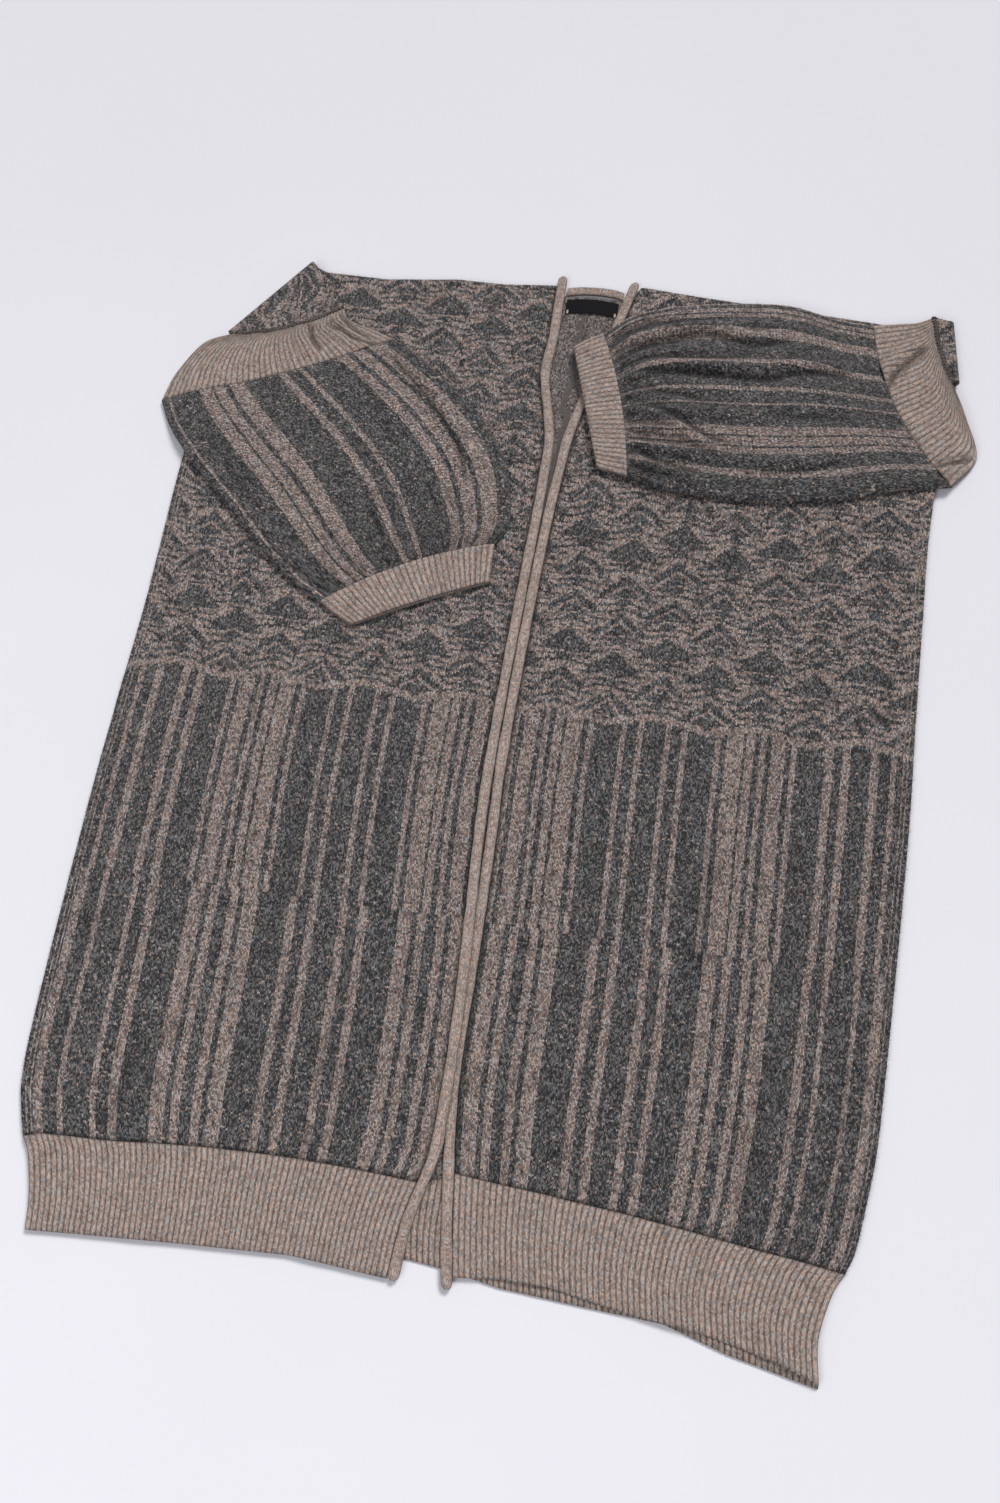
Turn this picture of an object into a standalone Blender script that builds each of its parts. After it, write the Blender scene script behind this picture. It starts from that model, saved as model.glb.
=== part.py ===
"""Kimono cardigan in wool knit, laid flat on its back with both sleeves folded over the fronts.

Every cut or sewn piece is a closed wall of cloth in an object of its own.
Left and right in the piece names are the wearer's, so the right front lies on the -X side.
The tables are in centimetres in plan and millimetres in height, as their column names say.
+Y points to the shoulders, +Z is up, and the back rests on z = 0.
"""

from collections import namedtuple

import bmesh
import bpy
import numpy as np

CM = 0.01
MM = 0.001

# The middle of the whole outline in the tables' own plan, which becomes the origin.
OUTLINE_MIDDLE_X_CM = -0.39
OUTLINE_MIDDLE_Y_CM = -4.30

# Cloth and stacking heights, in millimetres.
WALL = 2.4
SEAM_GAP = 0.3
RIB_HEIGHT = 0.6
EDGE_EASE = 1.0
FRONT_REST = WALL + SEAM_GAP
SLEEVE_REST = 2 * (WALL + SEAM_GAP)
FOLD_CENTRE = SLEEVE_REST - SEAM_GAP / 2

# Front and neck bands: a flat knitted tube pressed together, in millimetres.
TRIM_WIDTH = 9.0
TRIM_THICK = 4.0
TRIM_POINTS = 10
TRIM_SQUARENESS = 0.62
CROSSING_LIFT = TRIM_THICK + 0.6

# Grid sizes.
CURVE_STEPS = 12
TRIM_LINE_POINTS = 120
SIDE_ROWS = 18
CORNER_ROWS = 5
BACK_COLUMNS_X_CM = (-26.17, -25.9, -22.0, -17.0, -12.0, -7.5, -2.7, -1.9, -0.4, 1.1,
                     2.7, 4.2, 5.3, 9.5, 14.0, 19.0, 24.0, 29.0, 33.3, 33.58)
FOLD_STEPS = 6
FLAP_STEPS = 2
FRONT_COLUMNS = 13
FRONT_EDGE_SHARE = 0.01
FRONT_FIRST_SHARE = 0.07
HEM_ROWS = 2
SLEEVE_STATIONS = 16
SLEEVE_TOP_COLUMNS = 26
BAND_STATIONS = 4
CUFF_STATIONS = 3
TUBE_UNDER_COLUMNS = 8
TUBE_EDGE_MM = 4.0
TUBE_EDGE_MIDDLE = 0.22
GATHER_SHARE_BELOW = 0.5
GATHER_FADE_FROM = 0.35
GATHER_START = 0.10
NECK_STATIONS = 9

RIBS = {"right_front_hem": 66, "left_front_hem": 62, "right_armhole_band": 40,
        "left_armhole_band": 32, "right_cuff": 30, "left_cuff": 30}

# Beyond the body's sides the sleeves sink to the surface that the back lies on.
BODY_EDGE_LEFT_CM = -34.45
BODY_EDGE_RIGHT_CM = 34.95
SINK_WIDTH_CM = 2.6
SINK_DEPTH = SLEEVE_REST - SEAM_GAP

Point = namedtuple("Point", "x y")
Fold = namedtuple("Fold", "low high")
TrimRow = namedtuple("TrimRow", "y right_band left_band")
Wave = namedtuple("Wave", "x0 y0 x1 y1 width_cm height_mm")
Section = namedtuple("Section", "ax ay bx by bow rest_mm rise_mm air_mm")
Gather = namedtuple("Gather", "at_cuff at_far reach width height_mm")
Finish = namedtuple("Finish", "colour roughness")

BODY_SIDE_RIGHT = [Point(-32.05, -43.2), Point(-32.8, -41.1), Point(-33.4, -38.6), Point(-33.8, -33.0),
                   Point(-34.1, -15.0), Point(-34.05, -5.0), Point(-33.9, 5.0), Point(-34.1, 20.0),
                   Point(-33.8, 29.0), Point(-32.47, 33.39)]
BODY_SIDE_LEFT = [Point(32.9, -43.6), Point(33.5, -41.8), Point(34.0, -38.0), Point(34.4, -33.0),
                  Point(34.5, -20.0), Point(34.45, -8.0), Point(34.15, 2.0), Point(33.9, 12.0),
                  Point(33.75, 20.0), Point(34.2, 29.0), Point(34.58, 35.52)]
SHOULDER_FOLD_RIGHT = Fold(Point(-32.47, 33.39), Point(-26.17, 42.09))
SHOULDER_FOLD_LEFT = Fold(Point(34.58, 35.52), Point(33.58, 41.82))
SHOULDER_LINE = [Point(-26.17, 42.09), Point(-24.9, 41.5), Point(-19.0, 41.3), Point(-12.0, 42.0),
                 Point(-7.8, 41.9), Point(-2.7, 42.3), Point(-1.9, 41.3), Point(1.1, 41.5),
                 Point(4.2, 41.3), Point(5.3, 42.9), Point(10.6, 42.4), Point(17.6, 41.9),
                 Point(23.2, 41.5), Point(28.3, 41.1), Point(33.58, 41.82)]
HEM_SEAM = [Point(-32.05, -43.2), Point(-30.7, -42.8), Point(-24.9, -42.5), Point(-17.0, -41.8),
            Point(-10.1, -41.6), Point(-5.2, -41.7), Point(-0.1, -42.0), Point(2.7, -40.8),
            Point(7.9, -41.2), Point(16.3, -41.8), Point(23.7, -42.6), Point(32.9, -43.6)]
FRONT_HEM_EDGE = [Point(-29.9, -50.3), Point(-26.1, -50.0), Point(-17.5, -49.4), Point(-8.9, -48.9),
                  Point(-1.2, -49.4), Point(3.4, -48.6), Point(7.4, -48.1), Point(11.3, -48.1),
                  Point(16.3, -48.9), Point(23.7, -49.7), Point(28.6, -50.7), Point(31.8, -51.8)]
BACK_HEM_EDGE = [Point(-29.9, -49.8), Point(-20.0, -49.2), Point(-10.0, -48.3), Point(0.0, -47.7),
                 Point(3.0, -48.0), Point(7.5, -48.7), Point(13.0, -49.0), Point(20.0, -49.3),
                 Point(25.0, -50.7), Point(31.6, -52.0)]
HEM_SIDE_RIGHT = [Point(-32.05, -43.2), Point(-31.2, -44.6), Point(-30.3, -47.6), Point(-29.9, -50.3)]
HEM_SIDE_LEFT = [Point(32.9, -43.6), Point(32.1, -45.3), Point(31.45, -48.6), Point(31.8, -51.8)]

TRIM_LINE = [TrimRow(-49.5, -0.6, 3.6), TrimRow(-45.0, -0.3, 2.8), TrimRow(-40.0, 0.85, 2.05),
             TrimRow(-37.0, 0.95, 1.65), TrimRow(-33.0, 0.9, 1.25), TrimRow(-26.0, 0.6, 1.1),
             TrimRow(-20.0, 0.2, 0.95), TrimRow(-13.0, -0.3, 0.68), TrimRow(-5.0, -0.62, 0.35),
             TrimRow(10.0, -0.62, 0.34), TrimRow(18.0, -0.55, 0.5), TrimRow(22.2, -0.6, 0.72),
             TrimRow(25.4, -0.7, 0.9), TrimRow(28.2, -1.25, 1.35), TrimRow(32.4, -2.2, 2.25),
             TrimRow(36.6, -2.1, 3.2), TrimRow(40.0, -2.2, 3.95), TrimRow(43.4, -2.25, 4.65)]
NECK_LINE = [Point(-1.68, 41.85), Point(-0.4, 42.1), Point(1.2, 42.2), Point(2.8, 42.1), Point(3.72, 41.85)]
CROSSING_Y_CM = (-46.0, -40.5, -12.0, -5.0)
CROSSING_SPREAD_CM = 7.0
CROSSING_FLAT_CM = 0.4
TRIM_AT_SEAM_Y_CM = -41.5
TRIM_AT_SHOULDER_Y_CM = 42.5
TRIM_AT_HEM_Y_CM = -48.9

LABEL_MIDDLE = Point(0.95, 40.15)
LABEL_WIDTH_CM = 4.9
LABEL_DEPTH_CM = 1.6
LABEL_THICK = 0.6
LABEL_SAG_CM = 0.25
LABEL_COLUMNS = 8

FRONT_WAVES = [Wave(-27.0, -14.0, -29.5, -49.0, 3.4, 1.7), Wave(-20.0, -24.0, -21.5, -52.0, 3.6, 2.0),
               Wave(-12.5, -6.0, -13.5, -50.0, 3.2, 1.5), Wave(-6.6, -22.0, -7.0, -52.0, 2.6, 1.3),
               Wave(-30.0, -1.0, -29.0, -12.0, 2.4, 0.9), Wave(9.8, -24.0, 9.2, -53.0, 3.6, 2.6),
               Wave(16.0, 14.0, 15.0, -30.0, 3.4, 1.4), Wave(21.5, -20.0, 21.0, -54.0, 3.2, 1.5),
               Wave(27.0, 12.0, 26.5, -16.0, 3.0, 1.2), Wave(28.6, -26.0, 29.6, -56.0, 3.4, 2.6)]
WAVE_END_CM = 6.0
TRIM_CALM_CM = (2.5, 5.5)

RIGHT_BAND_SECTIONS = [Section(-32.1, 33.3, -22.3, 37.4, 0.8, SLEEVE_REST, 0.0, 0.0),
                       Section(-34.9, 31.9, -21.5, 36.1, 0.8, SLEEVE_REST, 0.6, 0.9),
                       Section(-36.9, 28.8, -19.0, 35.2, 0.8, SLEEVE_REST, 1.0, 1.6),
                       Section(-37.6, 25.6, -16.8, 34.4, 1.0, SLEEVE_REST, 1.4, 2.2)]
RIGHT_SLEEVE_SECTIONS = [Section(-37.6, 25.6, -16.8, 34.4, 1.0, SLEEVE_REST, 1.4, 2.2),
                         Section(-35.9, 22.6, -13.4, 32.2, 0.8, SLEEVE_REST, 2.0, 3.0),
                         Section(-32.9, 19.1, -8.6, 28.3, 0.6, SLEEVE_REST, 2.4, 3.0),
                         Section(-28.8, 15.2, -4.5, 23.1, 0.4, SLEEVE_REST, 2.6, 3.0),
                         Section(-24.3, 10.8, -2.9, 17.9, 0.1, SLEEVE_REST, 2.4, 2.9),
                         Section(-21.0, 8.1, -3.0, 15.4, -0.3, SLEEVE_REST, 2.0, 2.8),
                         Section(-18.1, 6.4, -3.7, 14.0, -0.8, SLEEVE_REST, 0.8, 1.4)]
RIGHT_CUFF_SECTIONS = [Section(-18.1, 6.4, -3.7, 14.0, -0.8, SLEEVE_REST, 0.8, 1.4),
                       Section(-16.6, 5.4, -3.6, 12.1, -0.6, SLEEVE_REST, 0.6, 1.4),
                       Section(-14.9, 4.5, -3.5, 10.2, -0.2, SLEEVE_REST, 0.3, 1.5)]
LEFT_BAND_SECTIONS = [Section(32.25, 42.1, 34.35, 35.3, 0.3, SLEEVE_REST, 0.0, 0.0),
                      Section(30.8, 41.4, 36.1, 31.4, 0.4, SLEEVE_REST, 0.6, 1.0),
                      Section(29.4, 41.15, 37.2, 27.9, 0.9, SLEEVE_REST, 1.2, 1.8),
                      Section(26.9, 40.7, 35.2, 24.5, 1.6, SLEEVE_REST, 1.6, 2.4)]
LEFT_SLEEVE_SECTIONS = [Section(26.9, 40.7, 35.2, 24.5, 1.6, SLEEVE_REST, 1.6, 2.4),
                        Section(23.5, 41.0, 30.9, 23.7, 1.2, SLEEVE_REST, 2.2, 3.0),
                        Section(19.3, 42.0, 25.2, 21.9, 0.6, SLEEVE_REST, 2.8, 3.0),
                        Section(14.6, 41.8, 19.2, 21.0, 0.2, SLEEVE_REST, 3.0, 3.0),
                        Section(9.2, 40.9, 13.4, 21.0, 0.0, 5.7, 2.8, 3.0),
                        Section(5.2, 39.4, 9.6, 21.4, -0.3, 7.0, 1.8, 3.0),
                        Section(2.5, 37.1, 6.9, 22.2, -0.6, 7.0, 0.5, 1.4)]
LEFT_CUFF_SECTIONS = [Section(2.5, 37.1, 6.9, 22.2, -0.6, 7.0, 0.5, 1.4),
                      Section(1.2, 36.3, 5.5, 22.4, -0.3, 7.0, 0.4, 1.5),
                      Section(0.0, 35.3, 4.1, 22.7, 0.0, 7.0, 0.2, 1.6)]

RIGHT_GATHERS = [Gather(0.16, 0.10, 0.55, 0.050, 0.9), Gather(0.34, 0.27, 0.80, 0.060, 1.1),
                 Gather(0.52, 0.47, 0.60, 0.050, 0.8), Gather(0.70, 0.72, 0.75, 0.060, 1.1),
                 Gather(0.87, 0.92, 0.50, 0.045, 0.8)]
LEFT_GATHERS = [Gather(0.12, 0.08, 0.70, 0.050, 1.2), Gather(0.27, 0.22, 0.55, 0.045, 1.0),
                Gather(0.42, 0.40, 0.95, 0.055, 1.4), Gather(0.58, 0.62, 0.60, 0.045, 1.0),
                Gather(0.73, 0.80, 0.85, 0.055, 1.3), Gather(0.88, 0.93, 0.50, 0.040, 0.8)]

CHARCOAL_KNIT = Finish((0.075, 0.080, 0.086), 0.95)
TAUPE_RIB = Finish((0.290, 0.225, 0.195), 0.93)
BLACK_LABEL = Finish((0.012, 0.012, 0.014), 0.55)


def smooth_step(low, high, value):
    """Return 0 below low, 1 above high, and an eased ramp between."""
    share = np.clip((value - low) / (high - low), 0.0, 1.0)
    return share * share * (3.0 - 2.0 * share)


def smooth_curve(points, count):
    """Return count points, evenly spaced along a smooth curve through the given points."""
    knots = np.array(points, dtype=float)
    padded = np.vstack([2 * knots[0] - knots[1], knots, 2 * knots[-1] - knots[-2]])
    fine = []
    for p0, p1, p2, p3 in zip(padded[:-3], padded[1:-2], padded[2:-1], padded[3:]):
        share = np.linspace(0.0, 1.0, CURVE_STEPS, endpoint=False)[:, None]
        bend = 2 * p0 - 5 * p1 + 4 * p2 - p3
        twist = 3 * p1 - p0 - 3 * p2 + p3
        fine.append(0.5 * (2 * p1 + (p2 - p0) * share + bend * share ** 2 + twist * share ** 3))
    fine = np.vstack(fine + [knots[-1:]])
    steps = np.linalg.norm(np.diff(fine[:, :2], axis=0), axis=1)
    travelled = np.concatenate([[0.0], np.cumsum(steps)])
    wanted = np.linspace(0.0, travelled[-1], count)
    return np.stack([np.interp(wanted, travelled, column) for column in fine.T], axis=1)


def read_line(table, x):
    """Return y of a left-to-right line of points at each x."""
    return np.interp(x, [point.x for point in table], [point.y for point in table])


def trim_x(y, band):
    """Return the middle of a front band at height y, where band names the column."""
    rows = smooth_curve(TRIM_LINE, TRIM_LINE_POINTS)
    column = TrimRow._fields.index(band)
    return np.interp(y, rows[:, 0], rows[:, column])


def wave_height(x, y):
    """Return how far the laid cloth stands off in soft waves, in millimetres."""
    total = np.zeros_like(x)
    for wave in FRONT_WAVES:
        along = np.array([wave.x1 - wave.x0, wave.y1 - wave.y0])
        length = np.hypot(*along)
        along = along / length
        run = (x - wave.x0) * along[0] + (y - wave.y0) * along[1]
        off = (x - wave.x0) * along[1] - (y - wave.y0) * along[0]
        ends = smooth_step(0.0, WAVE_END_CM, run) * smooth_step(0.0, WAVE_END_CM, length - run)
        ridge = np.clip(1.0 - (off / wave.width_cm) ** 2, 0.0, 1.0) ** 2
        total = total + wave.height_mm * ends * ridge
    calm = smooth_step(TRIM_CALM_CM[0], TRIM_CALM_CM[1], np.abs(x - trim_x(y, "left_band")))
    return total * calm


def crossing_height(x, y):
    """Return the lift of the right front's edge where its band lies over the other one."""
    rise_low, full_low, full_high, rise_high = CROSSING_Y_CM
    lengthwise = smooth_step(rise_low, full_low, y) * (1.0 - smooth_step(full_high, rise_high, y))
    edge = trim_x(y, "right_band") - TRIM_WIDTH / 20
    across = smooth_step(edge - CROSSING_SPREAD_CM, edge - CROSSING_FLAT_CM, x)
    return CROSSING_LIFT * lengthwise * across


def front_rest(x, y, band):
    """Return the underside of a front, which the band named rests with, in millimetres."""
    height = FRONT_REST + wave_height(x, y)
    return height + crossing_height(x, y) if band == "right_band" else height


def sink(x):
    """Return how far a sleeve sinks beyond the body's side, in millimetres."""
    past_left = smooth_step(0.0, SINK_WIDTH_CM, BODY_EDGE_LEFT_CM - x)
    past_right = smooth_step(0.0, SINK_WIDTH_CM, x - BODY_EDGE_RIGHT_CM)
    return SINK_DEPTH * (past_left + past_right)


def patch(left, right, bottom, top, across, along):
    """Fill four boundary lines with a grid of plan points, rows along and columns across."""
    s = across[None, :, None]
    t = along[:, None, None]
    sides = (1 - s) * left[:, None, :] + s * right[:, None, :]
    ends = (1 - t) * bottom[None, :, :] + t * top[None, :, :]
    corners = ((1 - s) * (1 - t) * bottom[0] + s * (1 - t) * bottom[-1]
               + (1 - s) * t * top[0] + s * t * top[-1])
    return sides + ends - corners


def quads(ids):
    """Return the four-sided faces between neighbouring rows and columns of point numbers."""
    corners = (ids[:-1, :-1], ids[:-1, 1:], ids[1:, 1:], ids[1:, :-1])
    return np.stack([corner.ravel() for corner in corners], axis=1).tolist()


def closed_wall(upper, lower, faces):
    """Return points and faces of a wall with the given two skins, closed along its free edges."""
    count = len(upper)
    uses = {}
    for face in faces:
        for first, second in zip(face, face[1:] + face[:1]):
            key = (min(first, second), max(first, second))
            uses.setdefault(key, []).append((first, second))
    rims = [pair[0] for pair in uses.values() if len(pair) == 1]
    under = [[count + index for index in reversed(face)] for face in faces]
    edges = [[second, first, count + first, count + second] for first, second in rims]
    return np.vstack([upper, lower]), faces + under + edges


def add_piece(name, points, faces, finish):
    """Make a closed piece from points, with plan in centimetres and height in millimetres."""
    placed = np.array(points, dtype=float)
    placed[:, 0] = (placed[:, 0] - OUTLINE_MIDDLE_X_CM) * CM
    placed[:, 1] = (placed[:, 1] - OUTLINE_MIDDLE_Y_CM) * CM
    placed[:, 2] = placed[:, 2] * MM
    mesh = bpy.data.meshes.new(name)
    mesh.from_pydata(placed.tolist(), [], faces)
    shape = bmesh.new()
    shape.from_mesh(mesh)
    bmesh.ops.recalc_face_normals(shape, faces=shape.faces)
    shape.to_mesh(mesh)
    shape.free()
    material = bpy.data.materials.new(name)
    material.use_nodes = True
    shader = material.node_tree.nodes["Principled BSDF"]
    shader.inputs["Base Color"].default_value = (*finish.colour, 1.0)
    shader.inputs["Roughness"].default_value = finish.roughness
    shader.inputs["Metallic"].default_value = 0.0
    mesh.materials.append(material)
    piece = bpy.data.objects.new(name, mesh)
    bpy.context.scene.collection.objects.link(piece)
    return piece


def flat_wall(grid, rest, rise_low=None, rise_high=None):
    """Return the upper and lower skins of a wall over a plan grid, as two lists of points."""
    low = rest if rise_low is None else rest + rise_low
    high = rest + WALL if rise_high is None else rest + WALL + rise_high
    upper = np.dstack([grid, high]).reshape(-1, 3)
    lower = np.dstack([grid, low]).reshape(-1, 3)
    return upper, lower


def corner_flap(fold, outward, wall_rest, seam, start_ids, first_id):
    """Turn a panel's corner up round its fold line and lay it back as far as the armhole seam.

    Returns the outer and inner skins' new points and the grid of their numbers, whose first
    column is the panel's own edge.
    """
    line = np.linspace(fold.low, fold.high, CORNER_ROWS + 1)
    inner = FOLD_CENTRE - wall_rest - WALL
    outer = FOLD_CENTRE - wall_rest
    skins = []
    for radius in (inner, outer):
        columns = []
        for turn in np.linspace(0.0, np.pi, FOLD_STEPS + 1)[1:]:
            plan = line + outward * (radius * np.sin(turn)) / 10
            height = np.full(len(line), FOLD_CENTRE - radius * np.cos(turn))
            columns.append(np.column_stack([plan, height]))
        for share in np.linspace(0.0, 1.0, FLAP_STEPS + 1)[1:]:
            plan = line + (seam - line) * share
            height = np.full(len(line), FOLD_CENTRE + radius)
            columns.append(np.column_stack([plan, height]))
        skins.append(np.stack(columns, axis=1).reshape(-1, 3))
    new_ids = first_id + np.arange(len(skins[0])).reshape(len(line), -1)
    return skins[0], skins[1], np.column_stack([start_ids, new_ids])


def fold_outward(fold, side):
    """Return the unit direction across a fold line that points off the body."""
    along = np.array(fold.high) - np.array(fold.low)
    across = np.array([-along[1], along[0]]) / np.hypot(*along)
    return across if across[0] * side > 0 else -across


def seam_line(section, shares, back=0.0):
    """Return plan points along a tube's section, bowed towards the cuff, moved back by mm."""
    start = np.array([section.ax, section.ay])
    span = np.array([section.bx, section.by]) - start
    ahead = np.array([span[1], -span[0]]) / np.hypot(*span)
    bow = section.bow * 4 * shares * (1 - shares) - back / 10
    return start + span * shares[:, None] + ahead * bow[:, None]


def armhole_seam(section, from_first):
    """Return the line where a folded corner ends at its armhole, from the fold's low end."""
    shares = np.linspace(0.0, 1.0, CORNER_ROWS + 1)
    line = seam_line(section, shares, back=SEAM_GAP)
    return line if from_first else line[::-1]


def side_rows(side, fold):
    """Return a body side from hem to underarm and on along the shoulder fold, with its shares."""
    lower = smooth_curve(side, SIDE_ROWS + 1)
    upper = np.linspace(fold.low, fold.high, CORNER_ROWS + 1)[1:]
    rows = np.vstack([lower, upper])
    shares = (rows[:, 1] - rows[0, 1]) / (rows[-1, 1] - rows[0, 1])
    return rows, shares


def build_back():
    """Back: one panel from hem to shoulders, its two shoulder corners turned up and over.

    Returns the plan points of its hem seam.
    """
    right, right_shares = side_rows(BODY_SIDE_RIGHT, SHOULDER_FOLD_RIGHT)
    left, left_shares = side_rows(BODY_SIDE_LEFT, SHOULDER_FOLD_LEFT)
    along = (right_shares + left_shares) / 2
    top_x = np.array(BACK_COLUMNS_X_CM)
    across = (top_x - top_x[0]) / (top_x[-1] - top_x[0])
    top = np.column_stack([top_x, read_line(SHOULDER_LINE, top_x)])
    seam_x = right[0, 0] + across * (left[0, 0] - right[0, 0])
    bottom = np.column_stack([seam_x, read_line(HEM_SEAM, seam_x)])
    bottom[0] = right[0]
    bottom[-1] = left[0]
    grid = patch(right, left, bottom, top, across, along)
    ease = np.zeros(grid.shape[:2])
    ease[:SIDE_ROWS, 0] = EDGE_EASE
    ease[:SIDE_ROWS, -1] = EDGE_EASE
    upper, lower = flat_wall(grid, np.zeros(grid.shape[:2]), rise_low=ease)
    ids = np.arange(len(upper)).reshape(grid.shape[:2])
    faces = quads(ids)
    flaps = ((SHOULDER_FOLD_RIGHT, -1, armhole_seam(RIGHT_BAND_SECTIONS[0], True), ids[SIDE_ROWS:, 0]),
             (SHOULDER_FOLD_LEFT, 1, armhole_seam(LEFT_BAND_SECTIONS[0], False), ids[SIDE_ROWS:, -1]))
    for fold, side, seam, edge_ids in flaps:
        outward = fold_outward(fold, side)
        inner, outer, flap_ids = corner_flap(fold, outward, 0.0, seam, edge_ids, len(upper))
        upper = np.vstack([upper, inner])
        lower = np.vstack([lower, outer])
        faces += quads(flap_ids if side > 0 else flap_ids[::-1])
    add_piece("back", *closed_wall(upper, lower, faces), CHARCOAL_KNIT)
    return grid[0]


def build_front(name, side, fold, hand, band, first_section):
    """Front: a panel from side to front band, its shoulder corner folded inside the back's.

    Returns the plan points of its hem seam and of its edge along the front band.
    """
    outer, along = side_rows(side, fold)
    band_edge = hand * (TRIM_WIDTH / 20 + SEAM_GAP / 10)
    seam_end_x = trim_x(TRIM_AT_SEAM_Y_CM, band) + band_edge
    seam_end_y = read_line(HEM_SEAM, seam_end_x)
    top_end_x = trim_x(TRIM_AT_SHOULDER_Y_CM, band) + band_edge
    top_end_y = read_line(SHOULDER_LINE, top_end_x)
    inner_y = seam_end_y + along * (top_end_y - seam_end_y)
    inner = np.column_stack([trim_x(inner_y, band) + band_edge, inner_y])
    across = np.concatenate([[0.0, FRONT_EDGE_SHARE], np.linspace(FRONT_FIRST_SHARE, 1.0, FRONT_COLUMNS - 1)])
    bottom_x = outer[0, 0] + across * (inner[0, 0] - outer[0, 0])
    bottom = np.column_stack([bottom_x, read_line(HEM_SEAM, bottom_x)])
    bottom[0] = outer[0]
    top_x = outer[-1, 0] + across * (inner[-1, 0] - outer[-1, 0])
    top = np.column_stack([top_x, read_line(SHOULDER_LINE, top_x)])
    grid = patch(outer, inner, bottom, top, across, along)
    ease = np.zeros(grid.shape[:2])
    ease[:SIDE_ROWS, 0] = -EDGE_EASE
    rest = front_rest(grid[:, :, 0], grid[:, :, 1], band)
    upper, lower = flat_wall(grid, rest, rise_high=ease)
    ids = np.arange(len(upper)).reshape(grid.shape[:2])
    seam = armhole_seam(first_section, hand < 0)
    faces = quads(ids)
    inner_skin, outer_skin, flap_ids = corner_flap(
        fold, fold_outward(fold, hand), FRONT_REST, seam, ids[SIDE_ROWS:, 0], len(upper))
    upper = np.vstack([upper, inner_skin])
    lower = np.vstack([lower, outer_skin])
    faces += quads(flap_ids[::-1])
    add_piece(name, *closed_wall(upper, lower, faces), CHARCOAL_KNIT)
    return grid[0], grid[:, -1]


def on_seam(seam, x):
    """Return y of a panel's hem seam at each x, whichever way the seam's points run."""
    order = np.argsort(seam[:, 0])
    return np.interp(x, seam[order, 0], seam[order, 1])


def rib_relief(columns, rows):
    """Return a relief that is raised on every second column, one raised column for each rib."""
    raised = (np.arange(columns) % 2) * RIB_HEIGHT
    return np.tile(raised, (rows, 1))


def build_front_hem(name, side, hand, band, panel_seam):
    """Front hem: a ribbed strip sewn below a front, from the side seam to the front band.

    Returns the plan points of its edge along the front band, from the hem's edge upwards.
    """
    columns = 2 * RIBS[name] + 1
    across = np.linspace(0.0, 1.0, columns)
    along = np.linspace(0.0, 1.0, HEM_ROWS + 1)
    outer = smooth_curve(side, HEM_ROWS + 1)
    band_edge = hand * (TRIM_WIDTH / 20 + SEAM_GAP / 10)
    edge_x = trim_x(TRIM_AT_HEM_Y_CM, band) + band_edge
    inner_y = np.linspace(panel_seam[-1, 1], read_line(FRONT_HEM_EDGE, edge_x), HEM_ROWS + 1)
    inner = np.column_stack([trim_x(inner_y, band) + band_edge, inner_y])
    inner[0] = panel_seam[-1]
    seam_x = outer[0, 0] + across * (inner[0, 0] - outer[0, 0])
    seam = np.column_stack([seam_x, on_seam(panel_seam, seam_x)])
    edge_line_x = outer[-1, 0] + across * (inner[-1, 0] - outer[-1, 0])
    edge = np.column_stack([edge_line_x, read_line(FRONT_HEM_EDGE, edge_line_x)])
    grid = patch(outer, inner, seam, edge, across, along)
    grid[0, :, 1] -= SEAM_GAP / 10
    rest = front_rest(grid[:, :, 0], grid[:, :, 1], band)
    relief = rib_relief(columns, HEM_ROWS + 1)
    upper, lower = flat_wall(grid, rest, rise_high=relief)
    ids = np.arange(len(upper)).reshape(grid.shape[:2])
    add_piece(name, *closed_wall(upper, lower, quads(ids)), TAUPE_RIB)
    return inner[:0:-1]


def build_back_hem(seam):
    """Back hem: the ribbed strip below the back, plain on the side that it rests on."""
    across = (seam[:, 0] - seam[0, 0]) / (seam[-1, 0] - seam[0, 0])
    along = np.linspace(0.0, 1.0, HEM_ROWS + 1)
    right = smooth_curve(HEM_SIDE_RIGHT, HEM_ROWS + 1)
    left = smooth_curve(HEM_SIDE_LEFT, HEM_ROWS + 1)
    edge_x = right[-1, 0] + across * (left[-1, 0] - right[-1, 0])
    edge = np.column_stack([edge_x, read_line(BACK_HEM_EDGE, edge_x)])
    right[-1] = edge[0]
    left[-1] = edge[-1]
    grid = patch(right, left, seam, edge, across, along)
    grid[0, :, 1] -= SEAM_GAP / 10
    upper, lower = flat_wall(grid, np.zeros(grid.shape[:2]))
    ids = np.arange(len(upper)).reshape(grid.shape[:2])
    add_piece("back_hem", *closed_wall(upper, lower, quads(ids)), TAUPE_RIB)


def trim_ring(middle, across, rest):
    """Return one section of a band: a flat round-sided ring laid along the direction across."""
    turn = np.linspace(0.0, 2 * np.pi, TRIM_POINTS, endpoint=False)
    wide = np.sign(np.cos(turn)) * np.abs(np.cos(turn)) ** TRIM_SQUARENESS * TRIM_WIDTH / 20
    tall = np.sign(np.sin(turn)) * np.abs(np.sin(turn)) ** TRIM_SQUARENESS * TRIM_THICK / 2
    plan = middle + across * wide[:, None]
    return np.column_stack([plan, rest + TRIM_THICK / 2 + tall])


def build_trim(name, line, across, rests):
    """Band: rings laid along the direction across, carried along a line and closed at both ends."""
    rings = [trim_ring(middle, across, rest) for middle, rest in zip(line, rests)]
    points = np.vstack(rings)
    ids = np.arange(len(points)).reshape(len(line), TRIM_POINTS)
    faces = quads(np.column_stack([ids, ids[:, :1]]))
    faces += [ids[0].tolist(), ids[-1, ::-1].tolist()]
    add_piece(name, points, faces, TAUPE_RIB)


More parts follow.
